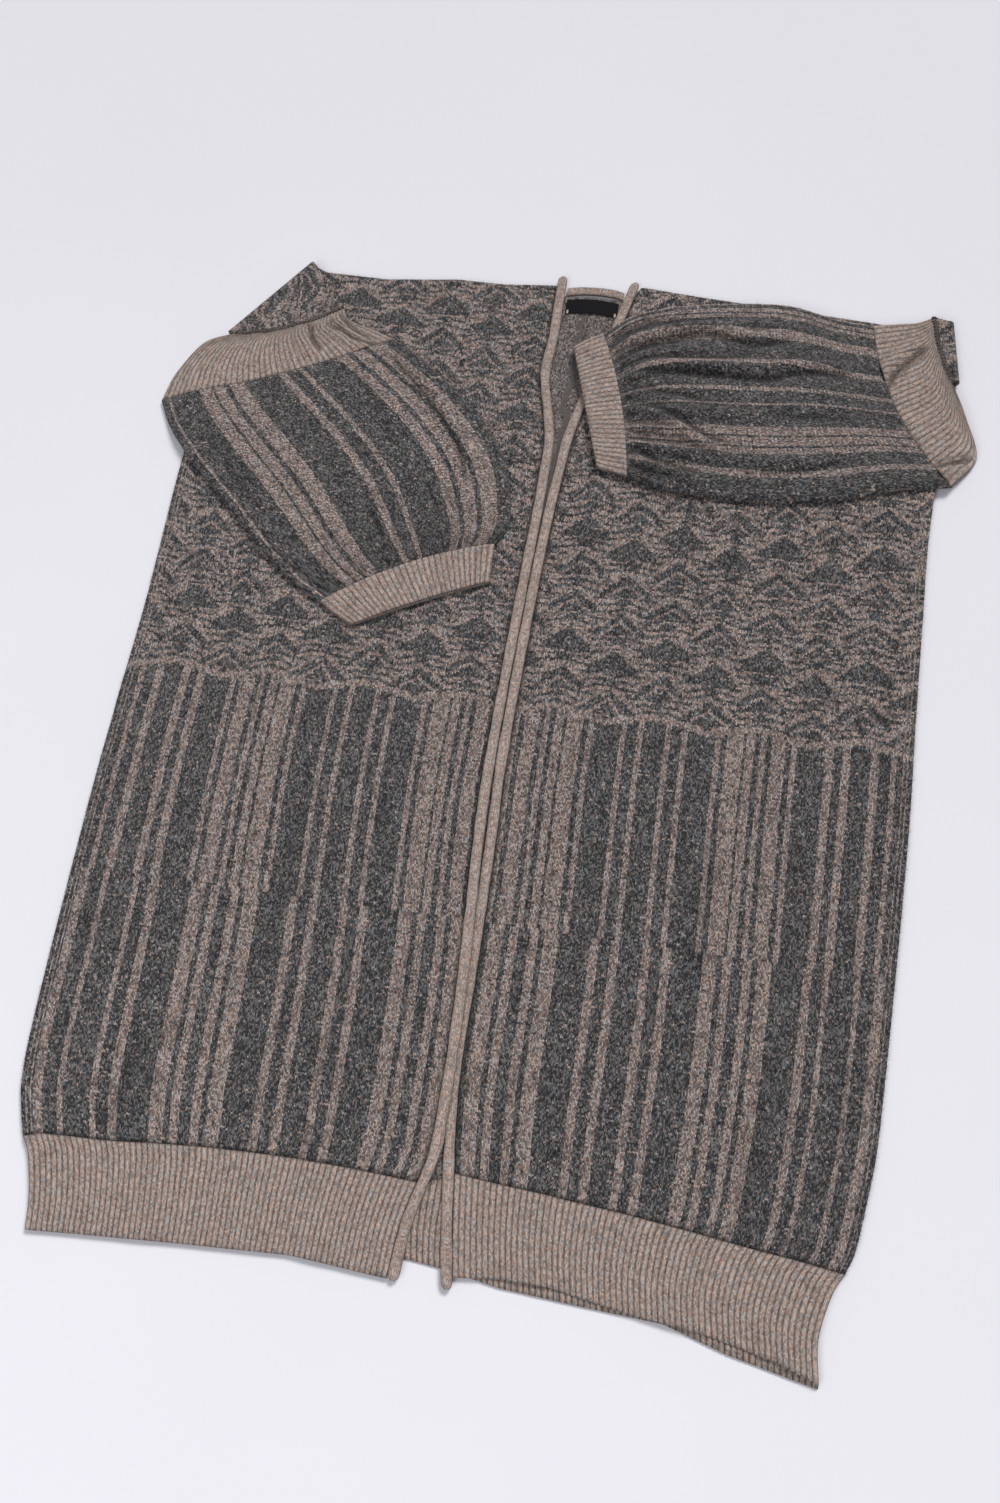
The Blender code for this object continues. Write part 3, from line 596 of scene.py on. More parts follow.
class Graph:
    """A material's node tree, with one method that adds any node."""

    def __init__(self, name: str) -> None:
        """Make an empty material with a Principled shader.

        Args:
            name: The material's name.
        """
        self.material = bpy.data.materials.new(name)
        self.material.use_nodes = True
        self.tree = self.material.node_tree
        self.shader = self.tree.nodes["Principled BSDF"]

    def add(self, kind: str, settings: Mapping[str, object], inputs: Mapping[object, object],
            output: object = 0) -> Wire:
        """Add a node.

        Args:
            kind: The node's type.
            settings: Its settings, which are set first; stops are a ramp's (place, colour) pairs.
            inputs: The values or links of its sockets, by name or number.
            output: Which output to return.

        Returns:
            The output, wrapped.
        """
        node = self.tree.nodes.new(kind)
        for key, value in settings.items():
            if key == "stops":
                self.set_stops(node, value)
            else:
                setattr(node, key, value)
        for key, value in inputs.items():
            self.feed(node.inputs[key], value)
        return Wire(self, node.outputs[output])

    def set_stops(self, node: bpy.types.Node, stops: Sequence[tuple[float, tuple]]) -> None:
        """Give a colour ramp its stops.

        Args:
            node: The ramp.
            stops: Each stop's place and colour, in rising order.
        """
        elements = node.color_ramp.elements
        while len(elements) > 1:
            elements.remove(elements[-1])
        elements[0].position = stops[0][0]
        elements[0].color = (*stops[0][1], 1.0)
        for place, colour in stops[1:]:
            elements.new(place).color = (*colour, 1.0)

    def feed(self, socket: bpy.types.NodeSocket, value: object) -> None:
        """Link a wire to a socket, or set its value.

        Args:
            socket: The socket.
            value: A wire, a colour, a vector or a number.
        """
        if isinstance(value, Wire):
            self.tree.links.new(value.socket, socket)
        elif isinstance(value, tuple) and len(value) == 3 and socket.type == "RGBA":
            socket.default_value = (*value, 1.0)
        else:
            socket.default_value = value

    def cloth(self) -> tuple[Wire, Wire]:
        """Read the cloth coordinates.

        Returns:
            The places across the knit and along it, in centimetres.
        """
        chart = self.add("ShaderNodeUVMap", {"uv_map": "cloth"}, {})
        across = self.add("ShaderNodeSeparateXYZ", {}, {0: chart}, "X")
        along = Wire(self, across.socket.node.outputs["Y"])
        return across, along

    def mark(self, name: str) -> Wire:
        """Return a value that the piece's points hold."""
        return self.add("ShaderNodeAttribute", {"attribute_name": name}, {}, "Fac")

    def pair(self, across: "Wire | float", along: "Wire | float") -> Wire:
        """Return a vector of two values."""
        return self.add("ShaderNodeCombineXYZ", {}, {0: across, 1: along})

    def noise(self, place: Wire, scale: float, detail: float = 2.0) -> Wire:
        """Return smooth noise around 0.5."""
        settings = {"noise_dimensions": "2D"}
        return self.add("ShaderNodeTexNoise", settings, {"Vector": place, "Scale": scale, "Detail": detail})

    def chance(self, place: Wire) -> Wire:
        """Return a random value from 0 to 1 for each place."""
        return self.add("ShaderNodeTexWhiteNoise", {"noise_dimensions": "2D"}, {"Vector": place}, "Value")

    def steps(self, position: Wire, bands: Sequence[tuple[float, float]], total: float) -> Wire:
        """Return a striped mask read from a table.

        Args:
            position: Where along the table each point is.
            bands: Each stripe's start and its value, 0 or 1.
            total: The table's whole width.

        Returns:
            The value of the stripe that each position falls in.
        """
        stops = [(start / total, (value, value, value)) for start, value in bands]
        ramp = self.add("ShaderNodeValToRGB", {"stops": stops}, {"Fac": position / total})
        ramp.socket.node.color_ramp.interpolation = "CONSTANT"
        return ramp

    def ramp(self, value: Wire, colours: Sequence[tuple[float, tuple]]) -> Wire:
        """Return a colour that runs through the given stops."""
        return self.add("ShaderNodeValToRGB", {"stops": colours}, {"Fac": value})

    def blend(self, factor: "Wire | float", first: object, second: object) -> Wire:
        """Return a colour between two."""
        return self.add("ShaderNodeMix", {"data_type": "RGBA"}, {0: factor, 6: first, 7: second}, 2)

    def scaled(self, colour: Wire, factor: Wire) -> Wire:
        """Return a colour made lighter or darker by a factor."""
        return self.add("ShaderNodeVectorMath", {"operation": "SCALE"}, {0: colour, "Scale": factor})

    def bump(self, height: Wire, strength: float, distance: float) -> Wire:
        """Return a normal bent by a height."""
        return self.add("ShaderNodeBump", {}, {"Strength": strength, "Distance": distance, "Height": height})

    def finish(self, colour: Wire, normal: Wire, roughness: "Wire | float",
               sheen: float) -> bpy.types.Material:
        """Feed the shader.

        Args:
            colour: The base colour.
            normal: The bent normal.
            roughness: The roughness.
            sheen: How much soft light the fibres catch at a slant.

        Returns:
            The material.
        """
        self.feed(self.shader.inputs["Base Color"], colour)
        self.feed(self.shader.inputs["Normal"], normal)
        self.feed(self.shader.inputs["Roughness"], roughness)
        self.shader.inputs["Specular IOR Level"].default_value = 0.18
        self.shader.inputs["Sheen Weight"].default_value = sheen
        self.shader.inputs["Sheen Roughness"].default_value = 0.45
        return self.material


@dataclass(frozen=True)
class Yarn:
    """A heathered yarn, as the linear colours of its dark, middle and light fibres."""

    dark: tuple[float, float, float]
    middle: tuple[float, float, float]
    light: tuple[float, float, float]

    def stops(self) -> list[tuple[float, tuple]]:
        """Return the yarn's colours as the stops of a ramp."""
        return [(0.12, self.dark), (0.5, self.middle), (0.9, self.light)]


CHARCOAL = Yarn((0.008, 0.010, 0.013), (0.044, 0.048, 0.052), (0.190, 0.200, 0.203))
TAUPE = Yarn((0.080, 0.067, 0.064), (0.293, 0.228, 0.203), (0.610, 0.512, 0.464))
RIB_TAUPE = Yarn((0.220, 0.172, 0.152), (0.410, 0.325, 0.284), (0.600, 0.500, 0.440))
TRIM_TAUPE = Yarn((0.210, 0.164, 0.145), (0.380, 0.302, 0.264), (0.550, 0.455, 0.400))
SEAM_MIX = Yarn((0.020, 0.018, 0.018), (0.105, 0.087, 0.080), (0.330, 0.272, 0.244))


@dataclass(frozen=True)
class Stitches:
    """One knit's stitches on the cloth coordinates, as wires that materials share."""

    column: Wire
    row: Wire
    height: Wire
    speckle: Wire
    fibre: Wire

    @classmethod
    def knit(cls, graph: Graph, across: Wire, along: Wire, wide: float, tall: float) -> "Stitches":
        """Work out columns of V-shaped stitches.

        A row is floor(along / tall + 0.5 * |2 * part(across / wide) - 1|), so that its edges
        zigzag with the stitch legs. The height is a rounded ridge on each of the two legs.

        Args:
            graph: The material's graph.
            across: Cloth coordinate across the columns, in centimetres.
            along: Cloth coordinate along them.
            wide: A stitch's width.
            tall: A stitch's height.

        Returns:
            The stitches.
        """
        drift = graph.noise(graph.pair(across, along), 1.7, 1.0) * (0.5 * wide)
        columns = (across + drift) / wide
        slope = (columns.part() * 2.0 - 1.0).size()
        rows = along / tall + slope * 0.55
        leg = (columns * 2.0).part() * 2.0 - 1.0
        lie = rows.part() * 2.0 - 1.0
        height = (1.0 - leg * leg) * (1.0 - lie * lie * 0.7)
        cell = graph.pair((columns * 2.0).floor(), rows.floor())
        speckle = graph.chance(cell)
        fibre = graph.noise(graph.pair(across * 26.0, along * 14.0 + slope * 1.2), 1.0, 3.0)
        return cls(columns.floor(), rows.floor(), height, speckle, fibre)

    def heather(self, graph: Graph, across: Wire, along: Wire) -> Wire:
        """Return the share of light fibre at each point, from stitch, fibre and cloth."""
        cloud = graph.noise(graph.pair(across, along), 0.75, 3.0)
        return self.speckle * 0.62 + self.fibre * 0.62 + cloud * 0.30 - 0.27

    def tinted(self, graph: Graph, colour: Wire) -> Wire:
        """Give each stitch leg its own slight tint, warm to cool.

        Args:
            graph: The material's graph.
            colour: The knit's colour.

        Returns:
            The tinted colour.
        """
        cell = graph.pair(self.speckle * 91.7, self.speckle * 37.1 + self.row)
        tints = graph.ramp(graph.chance(cell), [(0.0, (1.16, 0.97, 0.86)), (0.5, (1.0, 1.0, 1.0)),
                                                (1.0, (0.86, 1.02, 1.14))])
        return graph.add("ShaderNodeVectorMath", {"operation": "MULTIPLY"}, {0: colour, 1: tints})


@dataclass(frozen=True)
class StripeTable:
    """Stripes across a knit: each one's start in centimetres and 1 where it is taupe."""

    bands: tuple[tuple[float, float], ...]
    width: float


UPPER_STRIPES = StripeTable(
    ((0.0, 0.0), (0.85, 1.0), (1.45, 0.0), (2.3, 1.0), (2.88, 0.0), (5.2, 1.0), (5.72, 0.0), (6.12, 1.0),
     (7.42, 0.0), (7.8, 1.0), (8.48, 0.0)), 8.65)
LOWER_STRIPES = StripeTable(
    ((0.0, 0.0), (0.95, 1.0), (1.55, 0.0), (2.55, 1.0), (3.25, 0.0), (5.85, 1.0), (7.0, 0.0), (7.4, 1.0),
     (8.22, 0.0)), 8.65)
RIGHT_SLEEVE_STRIPES = StripeTable(
    ((0.0, 0.0), (0.65, 1.0), (1.0, 0.0), (3.75, 1.0), (4.75, 0.0), (5.15, 1.0), (6.1, 0.0), (6.45, 1.0),
     (7.95, 0.0), (11.2, 1.0), (11.8, 0.0), (13.1, 1.0), (13.7, 0.0), (16.7, 1.0), (17.8, 0.0), (18.25, 1.0),
     (19.5, 0.0), (19.9, 1.0), (21.2, 0.0), (23.6, 1.0), (24.6, 0.0), (27.0, 1.0), (27.8, 0.0), (31.0, 1.0),
     (32.4, 0.0), (35.5, 1.0), (36.2, 0.0), (39.4, 1.0), (40.8, 0.0), (43.2, 1.0)), 45.0)
LEFT_SLEEVE_STRIPES = StripeTable(
    ((0.0, 1.0), (0.5, 0.0), (0.75, 1.0), (1.25, 0.0), (1.55, 1.0), (2.1, 0.0), (3.4, 1.0), (4.6, 0.0),
     (7.3, 1.0), (7.9, 0.0), (10.2, 1.0), (10.8, 0.0), (12.0, 1.0), (12.35, 0.0), (14.6, 1.0), (15.6, 0.0),
     (15.85, 1.0), (16.7, 0.0), (17.0, 1.0), (17.6, 0.0), (19.4, 1.0), (20.2, 0.0), (24.2, 1.0), (25.0, 0.0),
     (28.0, 1.0), (29.4, 0.0), (32.6, 1.0), (33.4, 0.0), (36.0, 1.0), (37.4, 0.0), (41.0, 1.0),
     (41.8, 0.0)), 45.0)

YOKE_BORDER_CM = -0.9
STRIPE_CHANGE_CM = -20.5
CHEVRON_HALF_CM = 4.32
CHEVRON_SLOPE = 0.78
CHEVRON_TALL_CM = 3.7


def chevron_yoke(graph: Graph, across: Wire, along: Wire) -> Wire:
    """Return 1 where a generic chevron yoke is taupe, and else 0.

    Columns of dark triangles with taupe chevrons over them stand on peak lines 8.6 cm apart,
    every second column half a step higher. With d the distance to the peak line and f the
    height in the 3.7 cm step, a triangle is where f > 1.35 and f + slope * d < 3.7. Between
    the columns dark dashes and small dark lenses lie on taupe. Slow noise moves all of it a
    little, and two steps in three have a taupe line inside the triangle.

    Args:
        graph: The material's graph.
        across: Cloth coordinate across the stitch columns, in centimetres.
        along: Cloth coordinate along them.

    Returns:
        The mask.
    """
    tall = CHEVRON_TALL_CM
    peak = across.folded(CHEVRON_HALF_CM)
    column = (across / CHEVRON_HALF_CM + 0.5).floor()
    lane = (column / 2.0).part() * 2.0
    near = (peak - lane * CHEVRON_HALF_CM).size()
    wander = graph.noise(graph.pair(across, along), 0.42, 1.0) * 0.8
    moved = along + wander + lane * (tall / 2)
    height = (moved / tall).part() * tall
    third = (((moved / tall).floor() / 3.0).part() - 0.34).size().under(0.1)
    rim = height + near * CHEVRON_SLOPE
    half = CHEVRON_HALF_CM / 2 + 0.55
    inside = rim.under(tall) * height.over(1.35) * near.under(half)
    chevron = rim.over(tall) * rim.under(tall + 0.5) * near.under(half + 0.5)
    stripe = rim.over(tall - 1.15) * rim.under(tall - 0.8) * (1.0 - third) * near.under(1.7)
    dashes = ((along + wander * 0.6 + near * 0.2) / 0.66).part().under(0.40)
    foot = (near + (height - 0.85).size() / 0.45).under(1.0)
    side = ((near - half).size() / 0.9 + (height - 2.6).size() / 0.6).under(1.0)
    dark = inside.most(dashes * height.under(1.2)).most(dashes * near.over(1.5) * (1.0 - chevron))
    dark = dark.most(foot).most(side)
    return (1.0 - dark).most(chevron).most(stripe * inside)


@dataclass(frozen=True)
class PatternedKnit:
    """The charcoal and taupe jacquard, outside or inside, with stripes or the whole body's pattern."""

    name: str
    stripes: StripeTable | None = None
    inside: bool = False
    chain: bool = False

    def taupe_share(self, graph: Graph, across: Wire, along: Wire) -> Wire:
        """Read the pattern: stripes alone, or stripes below the chevron yoke and its border.

        Args:
            graph: The material's graph.
            across: Cloth coordinate across the stitch columns, in centimetres.
            along: Cloth coordinate along them.

        Returns:
            1 where the stitch at these coordinates is taupe, and else 0.
        """
        if self.stripes is not None:
            return graph.steps(across, self.stripes.bands, self.stripes.width)
        folded = across.folded(UPPER_STRIPES.width)
        upper = graph.steps(folded, UPPER_STRIPES.bands, UPPER_STRIPES.width)
        lower = graph.steps(folded, LOWER_STRIPES.bands, LOWER_STRIPES.width)
        below = along.under(STRIPE_CHANGE_CM)
        stripes = lower * below + upper * (1.0 - below)
        lifted = along + across.folded(CHEVRON_HALF_CM) * 0.22
        in_yoke = lifted.over(YOKE_BORDER_CM)
        border = in_yoke * lifted.under(YOKE_BORDER_CM + 0.62)
        return (chevron_yoke(graph, across, along) * in_yoke + stripes * (1.0 - in_yoke)).most(border)

    def chain_lines(self, graph: Graph, along: Wire) -> Wire:
        """Return 1 on the two chain lines beside the side seam, below the underarm."""
        beside = (graph.mark("side_cm") - 0.62).size() - 0.17
        return beside.size().under(0.06) * along.under(21.0)

    def make(self) -> bpy.types.Material:
        """Build the material.

        Returns:
            The material.
        """
        graph = Graph(self.name)
        across, along = graph.cloth()
        stitches = Stitches.knit(graph, across, along, STITCH_WIDE_CM, STITCH_TALL_CM)
        place_across = (stitches.column + 0.5) * STITCH_WIDE_CM
        place_along = stitches.row * STITCH_TALL_CM
        taupe = self.taupe_share(graph, place_across, place_along)
        if self.inside:
            taupe = graph.chance(graph.pair(stitches.column, stitches.row)) * 0.5 + 0.2
        heather = stitches.heather(graph, across, along)
        strays = graph.chance(graph.pair(stitches.row + 0.37, stitches.column * 1.7)).under(0.07)
        taupe = (taupe - strays * 0.75).size()
        taupe = (taupe * 0.80 + 0.05 + stitches.speckle * 0.12).held()
        if self.chain:
            taupe = taupe.most(self.chain_lines(graph, along) * 0.8)
        colour = graph.blend(taupe, graph.ramp(heather, CHARCOAL.stops()), graph.ramp(heather, TAUPE.stops()))
        # Painted light and shade: each stitch's ridges lighter and the dips between its legs darker, and the
        # painted shade mark darkens seams, creases, grooves and sides.
        light = (stitches.height * 0.62 + 0.66) * (1.0 - graph.mark("groove") * 0.7)
        # Painted highlight on the stripes: alternate rows of the taupe stitches lighter, the rows between
        # darker.
        if self.stripes is not None:
            dots = (stitches.row * 0.5).part().over(0.25)
            light = light * (1.0 + taupe * (dots * 0.36 - 0.15))
        shade = stitches.tinted(graph, graph.scaled(colour, light))
        relief = stitches.height * 0.8 + stitches.fibre * 0.7 + taupe * 0.12
        normal = graph.bump(relief, 0.8, 0.0010)
        return graph.finish(shade, normal, 0.93, 0.12)


@dataclass(frozen=True)
class PlainKnit:
    """A plain heathered knit in one yarn, with painted shade darkening the depth of its grooves."""

    name: str
    yarn: Yarn
    wide: float
    tall: float
    # How far the painted shade darkens the colour.
    groove: float = 0.72

    def make(self) -> bpy.types.Material:
        """Build the material.

        Returns:
            The material.
        """
        graph = Graph(self.name)
        across, along = graph.cloth()
        stitches = Stitches.knit(graph, across, along, self.wide, self.tall)
        heather = stitches.heather(graph, across, along)
        colour = graph.ramp(heather, self.yarn.stops())
        # Painted light and shade: stitch ridges lighter, and the painted shade mark darkens rib valleys,
        # seams and sides.
        shade = (stitches.height * 0.36 + 0.80) * (1.0 - graph.mark("groove") * self.groove)
        relief = stitches.height * 0.8 + stitches.fibre * 0.6
        normal = graph.bump(relief, 0.7, 0.0008)
        return graph.finish(stitches.tinted(graph, graph.scaled(colour, shade)), normal, 0.92, 0.12)


@dataclass(frozen=True)
class WovenTape:
    """A black woven tape with fine ribs across it, tacked down in light thread at two corners."""

    name: str
    middle_x_cm: float = 0.95
    tack_x_cm: float = 2.24
    tack_y_cm: float = 39.62
    tack_colour: tuple[float, float, float] = (0.42, 0.38, 0.34)

    def make(self) -> bpy.types.Material:
        """Build the material.

        Returns:
            The material.
        """
        graph = Graph(self.name)
        across, along = graph.cloth()
        warp = (across * 22.0).part() * 2.0 - 1.0
        weft = (along * 34.0).part() * 2.0 - 1.0
        weave = (1.0 - warp * warp) * (1.0 - weft * weft)
        grain = graph.noise(graph.pair(across * 9.0, along * 30.0), 1.0, 2.0)
        colour = graph.ramp(grain, [(0.3, (0.002, 0.002, 0.003)), (0.7, (0.008, 0.008, 0.010))])
        ends = ((across - self.middle_x_cm).size() - self.tack_x_cm).size().under(0.09)
        tacks = ends * (along - self.tack_y_cm).size().under(0.20)
        colour = graph.blend(tacks, colour, self.tack_colour)
        return graph.finish(colour, graph.bump(weave + grain * 0.4, 0.4, 0.0003), 0.75, 0.0)


@dataclass(frozen=True)
class PaleFloor:
    """A plain pale surface with the faintest unevenness."""

    name: str
    colour: tuple[float, float, float] = (0.800, 0.795, 0.845)

    def make(self) -> bpy.types.Material:
        """Build the material.

        Returns:
            The material.
        """
        graph = Graph(self.name)
        place = graph.add("ShaderNodeTexCoord", {}, {}, "Object")
        cloud = graph.add("ShaderNodeTexNoise", {}, {"Vector": place, "Scale": 2.5, "Detail": 3.0})
        darker = tuple(0.975 * value for value in self.colour)
        colour = graph.ramp(cloud, [(0.3, darker), (0.7, self.colour)])
        return graph.finish(colour, graph.bump(cloud, 0.05, 0.001), 0.7, 0.0)


# The garment's plan, in centimetres, as the solids have it.

BODY_SIDE = {
    Hand.RIGHT: ((-32.05, -43.2), (-32.8, -41.1), (-33.4, -38.6), (-33.8, -33.0), (-34.1, -15.0),
                 (-34.05, -5.0), (-33.9, 5.0), (-34.1, 20.0), (-33.8, 29.0), (-32.47, 33.39)),
    Hand.LEFT: ((32.9, -43.6), (33.5, -41.8), (34.0, -38.0), (34.4, -33.0), (34.5, -20.0), (34.45, -8.0),
                (34.15, 2.0), (33.9, 12.0), (33.75, 20.0), (34.2, 29.0), (34.58, 35.52)),
}
SHOULDER_FOLD = {Hand.RIGHT: ((-32.47, 33.39), (-26.17, 42.09)), Hand.LEFT: ((34.58, 35.52), (33.58, 41.82))}
SHOULDER_LINE = ((-26.17, 42.09), (-24.9, 41.5), (-19.0, 41.3), (-12.0, 42.0), (-7.8, 41.9), (-2.7, 42.3),
                 (-1.9, 41.3), (1.1, 41.5), (4.2, 41.3), (5.3, 42.9), (10.6, 42.4), (17.6, 41.9),
                 (23.2, 41.5), (28.3, 41.1), (33.58, 41.82))
HEM_SEAM = ((-32.05, -43.2), (-30.7, -42.8), (-24.9, -42.5), (-17.0, -41.8), (-10.1, -41.6), (-5.2, -41.7),
            (-0.1, -42.0), (2.7, -40.8), (7.9, -41.2), (16.3, -41.8), (23.7, -42.6), (32.9, -43.6))
FRONT_HEM_EDGE = ((-29.9, -50.3), (-26.1, -50.0), (-17.5, -49.4), (-8.9, -48.9), (-1.2, -49.4), (3.4, -48.6),
                  (7.4, -48.1), (11.3, -48.1), (16.3, -48.9), (23.7, -49.7), (28.6, -50.7), (31.8, -51.8))
BACK_HEM_EDGE = ((-29.9, -49.8), (-20.0, -49.2), (-10.0, -48.3), (0.0, -47.7), (3.0, -48.0), (7.5, -48.7),
                 (13.0, -49.0), (20.0, -49.3), (25.0, -50.7), (31.6, -52.0))
HEM_SIDE = {
    Hand.RIGHT: ((-32.05, -43.2), (-31.2, -44.6), (-30.3, -47.6), (-29.9, -50.3)),
    Hand.LEFT: ((32.9, -43.6), (32.1, -45.3), (31.45, -48.6), (31.8, -51.8)),
}
# Rows of the two front bands' middles: y, then x of the right front's band and of the left's.
TRIM_LINE = ((-49.5, -0.6, 3.6), (-45.0, -0.3, 2.8), (-40.0, 0.85, 2.05), (-37.0, 0.95, 1.65),
             (-33.0, 0.9, 1.25), (-26.0, 0.6, 1.1), (-20.0, 0.2, 0.95), (-13.0, -0.3, 0.68),
             (-5.0, -0.62, 0.35), (10.0, -0.62, 0.34), (18.0, -0.55, 0.5), (22.2, -0.6, 0.72),
             (25.4, -0.7, 0.9), (28.2, -1.25, 1.35), (32.4, -2.2, 2.25), (36.6, -2.1, 3.2),
             (40.0, -2.2, 3.95), (43.4, -2.25, 4.65))
NECK_LINE = ((-1.68, 41.85), (-0.4, 42.1), (1.2, 42.2), (2.8, 42.1), (3.72, 41.85))
CROSSING_Y_CM = (-46.0, -40.5, -12.0, -5.0)
CROSSING_SPREAD_CM = 7.0
STRIPE_MIDDLE = {Hand.RIGHT: -12.4, Hand.LEFT: 12.85}
STRIPE_DRIFT_CM = 0.5

# Soft waves of the fronts: x, y of both ends, half width in centimetres, height in millimetres.
FRONT_WAVES = ((-27.0, -14.0, -29.5, -49.0, 3.4, 1.7), (-20.0, -24.0, -21.5, -52.0, 3.6, 2.0),
               (-12.5, -6.0, -13.5, -50.0, 3.2, 1.5), (-6.6, -22.0, -7.0, -52.0, 2.6, 1.3),
               (-30.0, -1.0, -29.0, -12.0, 2.4, 0.9), (9.8, -24.0, 9.2, -53.0, 3.6, 2.6),
               (16.0, 14.0, 15.0, -30.0, 3.4, 1.4), (21.5, -20.0, 21.0, -54.0, 3.2, 1.5),
               (27.0, 12.0, 26.5, -16.0, 3.0, 1.2), (28.6, -26.0, 29.6, -56.0, 3.4, 2.6))
WAVE_END_CM = 6.0
TRIM_CALM_CM = (2.5, 5.5)

FRONT_CREASES = (
    Crease(((-33.0, -18.0), (-31.5, -24.0), (-31.0, -31.0)), 0.9, 0.5, 0.7),
    Crease(((-24.0, -30.0), (-25.0, -37.0), (-25.4, -44.0)), 0.8, 0.5, 0.9),
    Crease(((-15.5, -12.0), (-16.2, -22.0), (-16.0, -30.0)), 0.6, 0.4, 1.1),
    Crease(((-9.0, -26.0), (-9.8, -36.0), (-9.0, -46.0)), 0.7, 0.4, 0.8),
    Crease(((6.0, -30.0), (5.4, -38.0), (6.4, -46.0)), 0.8, 0.5, 0.8),
    Crease(((14.0, -38.0), (12.6, -43.5), (8.0, -45.5)), 0.9, 0.6, 0.9),
    Crease(((19.0, -6.0), (18.4, -16.0), (19.4, -26.0)), 0.6, 0.4, 1.1),
    Crease(((25.2, -28.0), (24.6, -38.0), (25.6, -47.0)), 0.8, 0.5, 0.9),
    Crease(((32.2, 14.0), (31.4, 4.0), (32.2, -8.0)), 0.7, 0.4, 0.7),
    Crease(((30.6, -20.0), (31.4, -32.0), (30.6, -42.0)), 0.7, 0.4, 0.7),
)


# Where the front bands cross the hem seam, the shoulder line and the hem's edge.
BAND_AT_SEAM_CM = -41.5
BAND_AT_SHOULDER_CM = 42.5
BAND_AT_EDGE_CM = -48.9
# Between these heights a front passes from under its sleeve into the open.
COVERED_CM = {Hand.RIGHT: (6.0, -2.0), Hand.LEFT: (24.0, 16.0)}


def trim_x(y: np.ndarray | float, hand: Hand) -> np.ndarray:
    """Return x of the middle of a front band at each y."""
    rows = smooth_curve(TRIM_LINE, 240)
    return np.interp(y, rows[:, 0], rows[:, 1 if hand is Hand.RIGHT else 2])


def beside_band(hand: Hand) -> float:
    """Return how far a front's inner edge is from the middle of its band, in centimetres."""
    return hand.value * (TRIM_WIDTH / 20 + SEAM_GAP / 10)


def front_rest(x: np.ndarray, y: np.ndarray, hand: Hand) -> np.ndarray:
    """Return the height of a front's underside, in millimetres.

    It is the back's thickness, soft ridges of (1 - (off / width)^2)^2 along the waves' lines,
    and on the right front the lift that carries its band over the left front's.

    Args:
        x: Plan x in centimetres.
        y: Plan y in centimetres.
        hand: Which front.

    Returns:
        The height of each point.
    """
    total = np.full_like(x, FRONT_REST)
    waves = np.zeros_like(x)
    for x0, y0, x1, y1, width, height in FRONT_WAVES:
        length = math.hypot(x1 - x0, y1 - y0)
        way = ((x1 - x0) / length, (y1 - y0) / length)
        run = (x - x0) * way[0] + (y - y0) * way[1]
        off = (x - x0) * way[1] - (y - y0) * way[0]
        ends = smooth_step(0.0, WAVE_END_CM, run) * smooth_step(0.0, WAVE_END_CM, length - run)
        waves = waves + height * ends * np.clip(1.0 - (off / width) ** 2, 0.0, 1.0) ** 2
    calm = smooth_step(*TRIM_CALM_CM, np.abs(x - trim_x(y, Hand.LEFT)))
    total = total + waves * calm
    if hand is Hand.RIGHT:
        rise_low, full_low, full_high, rise_high = CROSSING_Y_CM
        lengthwise = smooth_step(rise_low, full_low, y) * (1.0 - smooth_step(full_high, rise_high, y))
        edge = trim_x(y, hand) - TRIM_WIDTH / 20
        total = total + CROSSING_LIFT * lengthwise * smooth_step(edge - CROSSING_SPREAD_CM, edge - 0.4, x)
    return total


def patch(left: np.ndarray, right: np.ndarray, bottom: np.ndarray, top: np.ndarray,
          across: np.ndarray, along: np.ndarray) -> np.ndarray:
    """Fill four boundary lines with a grid: side blend plus end blend minus corner blend.

    Args:
        left: The first column's points.
        right: The last column's points.
        bottom: The first row's points.
        top: The last row's points.
        across: Each column's share from left to right.
        along: Each row's share from bottom to top.

    Returns:
        The grid of plan points.
    """
    s = across[None, :, None]
    t = along[:, None, None]
    corners = ((1 - s) * (1 - t) * bottom[0] + s * (1 - t) * bottom[-1]
               + (1 - s) * t * top[0] + s * t * top[-1])
    return (1 - s) * left[:, None] + s * right[:, None] + (1 - t) * bottom[None] + t * top[None] - corners


def edge_ease(distance_cm: np.ndarray, radius_mm: float) -> np.ndarray:
    """Return how far a skin drops at a rounded edge: r - sqrt(r^2 - (r - d)^2)."""
    inset = np.clip(radius_mm - distance_cm * 10, 0.0, radius_mm)
    return radius_mm - np.sqrt(radius_mm ** 2 - inset ** 2)


def seam_line(section: np.ndarray, shares: np.ndarray, back: float = 0.0) -> np.ndarray:
    """Return plan points along a tube's section, bowed towards the cuff by 4s(1 - s).

    Args:
        section: Both edges' plan points and the bow, in centimetres.
        shares: Each point's share from the first edge to the second.
        back: How far to move the line away from the cuff, in millimetres.

    Returns:
        The points.
    """
    start = section[:2]
    span = section[2:4] - start
    ahead = np.array([span[1], -span[0]]) / np.hypot(*span)
    bow = section[4] * 4 * shares * (1 - shares) - back / 10
    return start + span * shares[..., None] + ahead * bow[..., None]


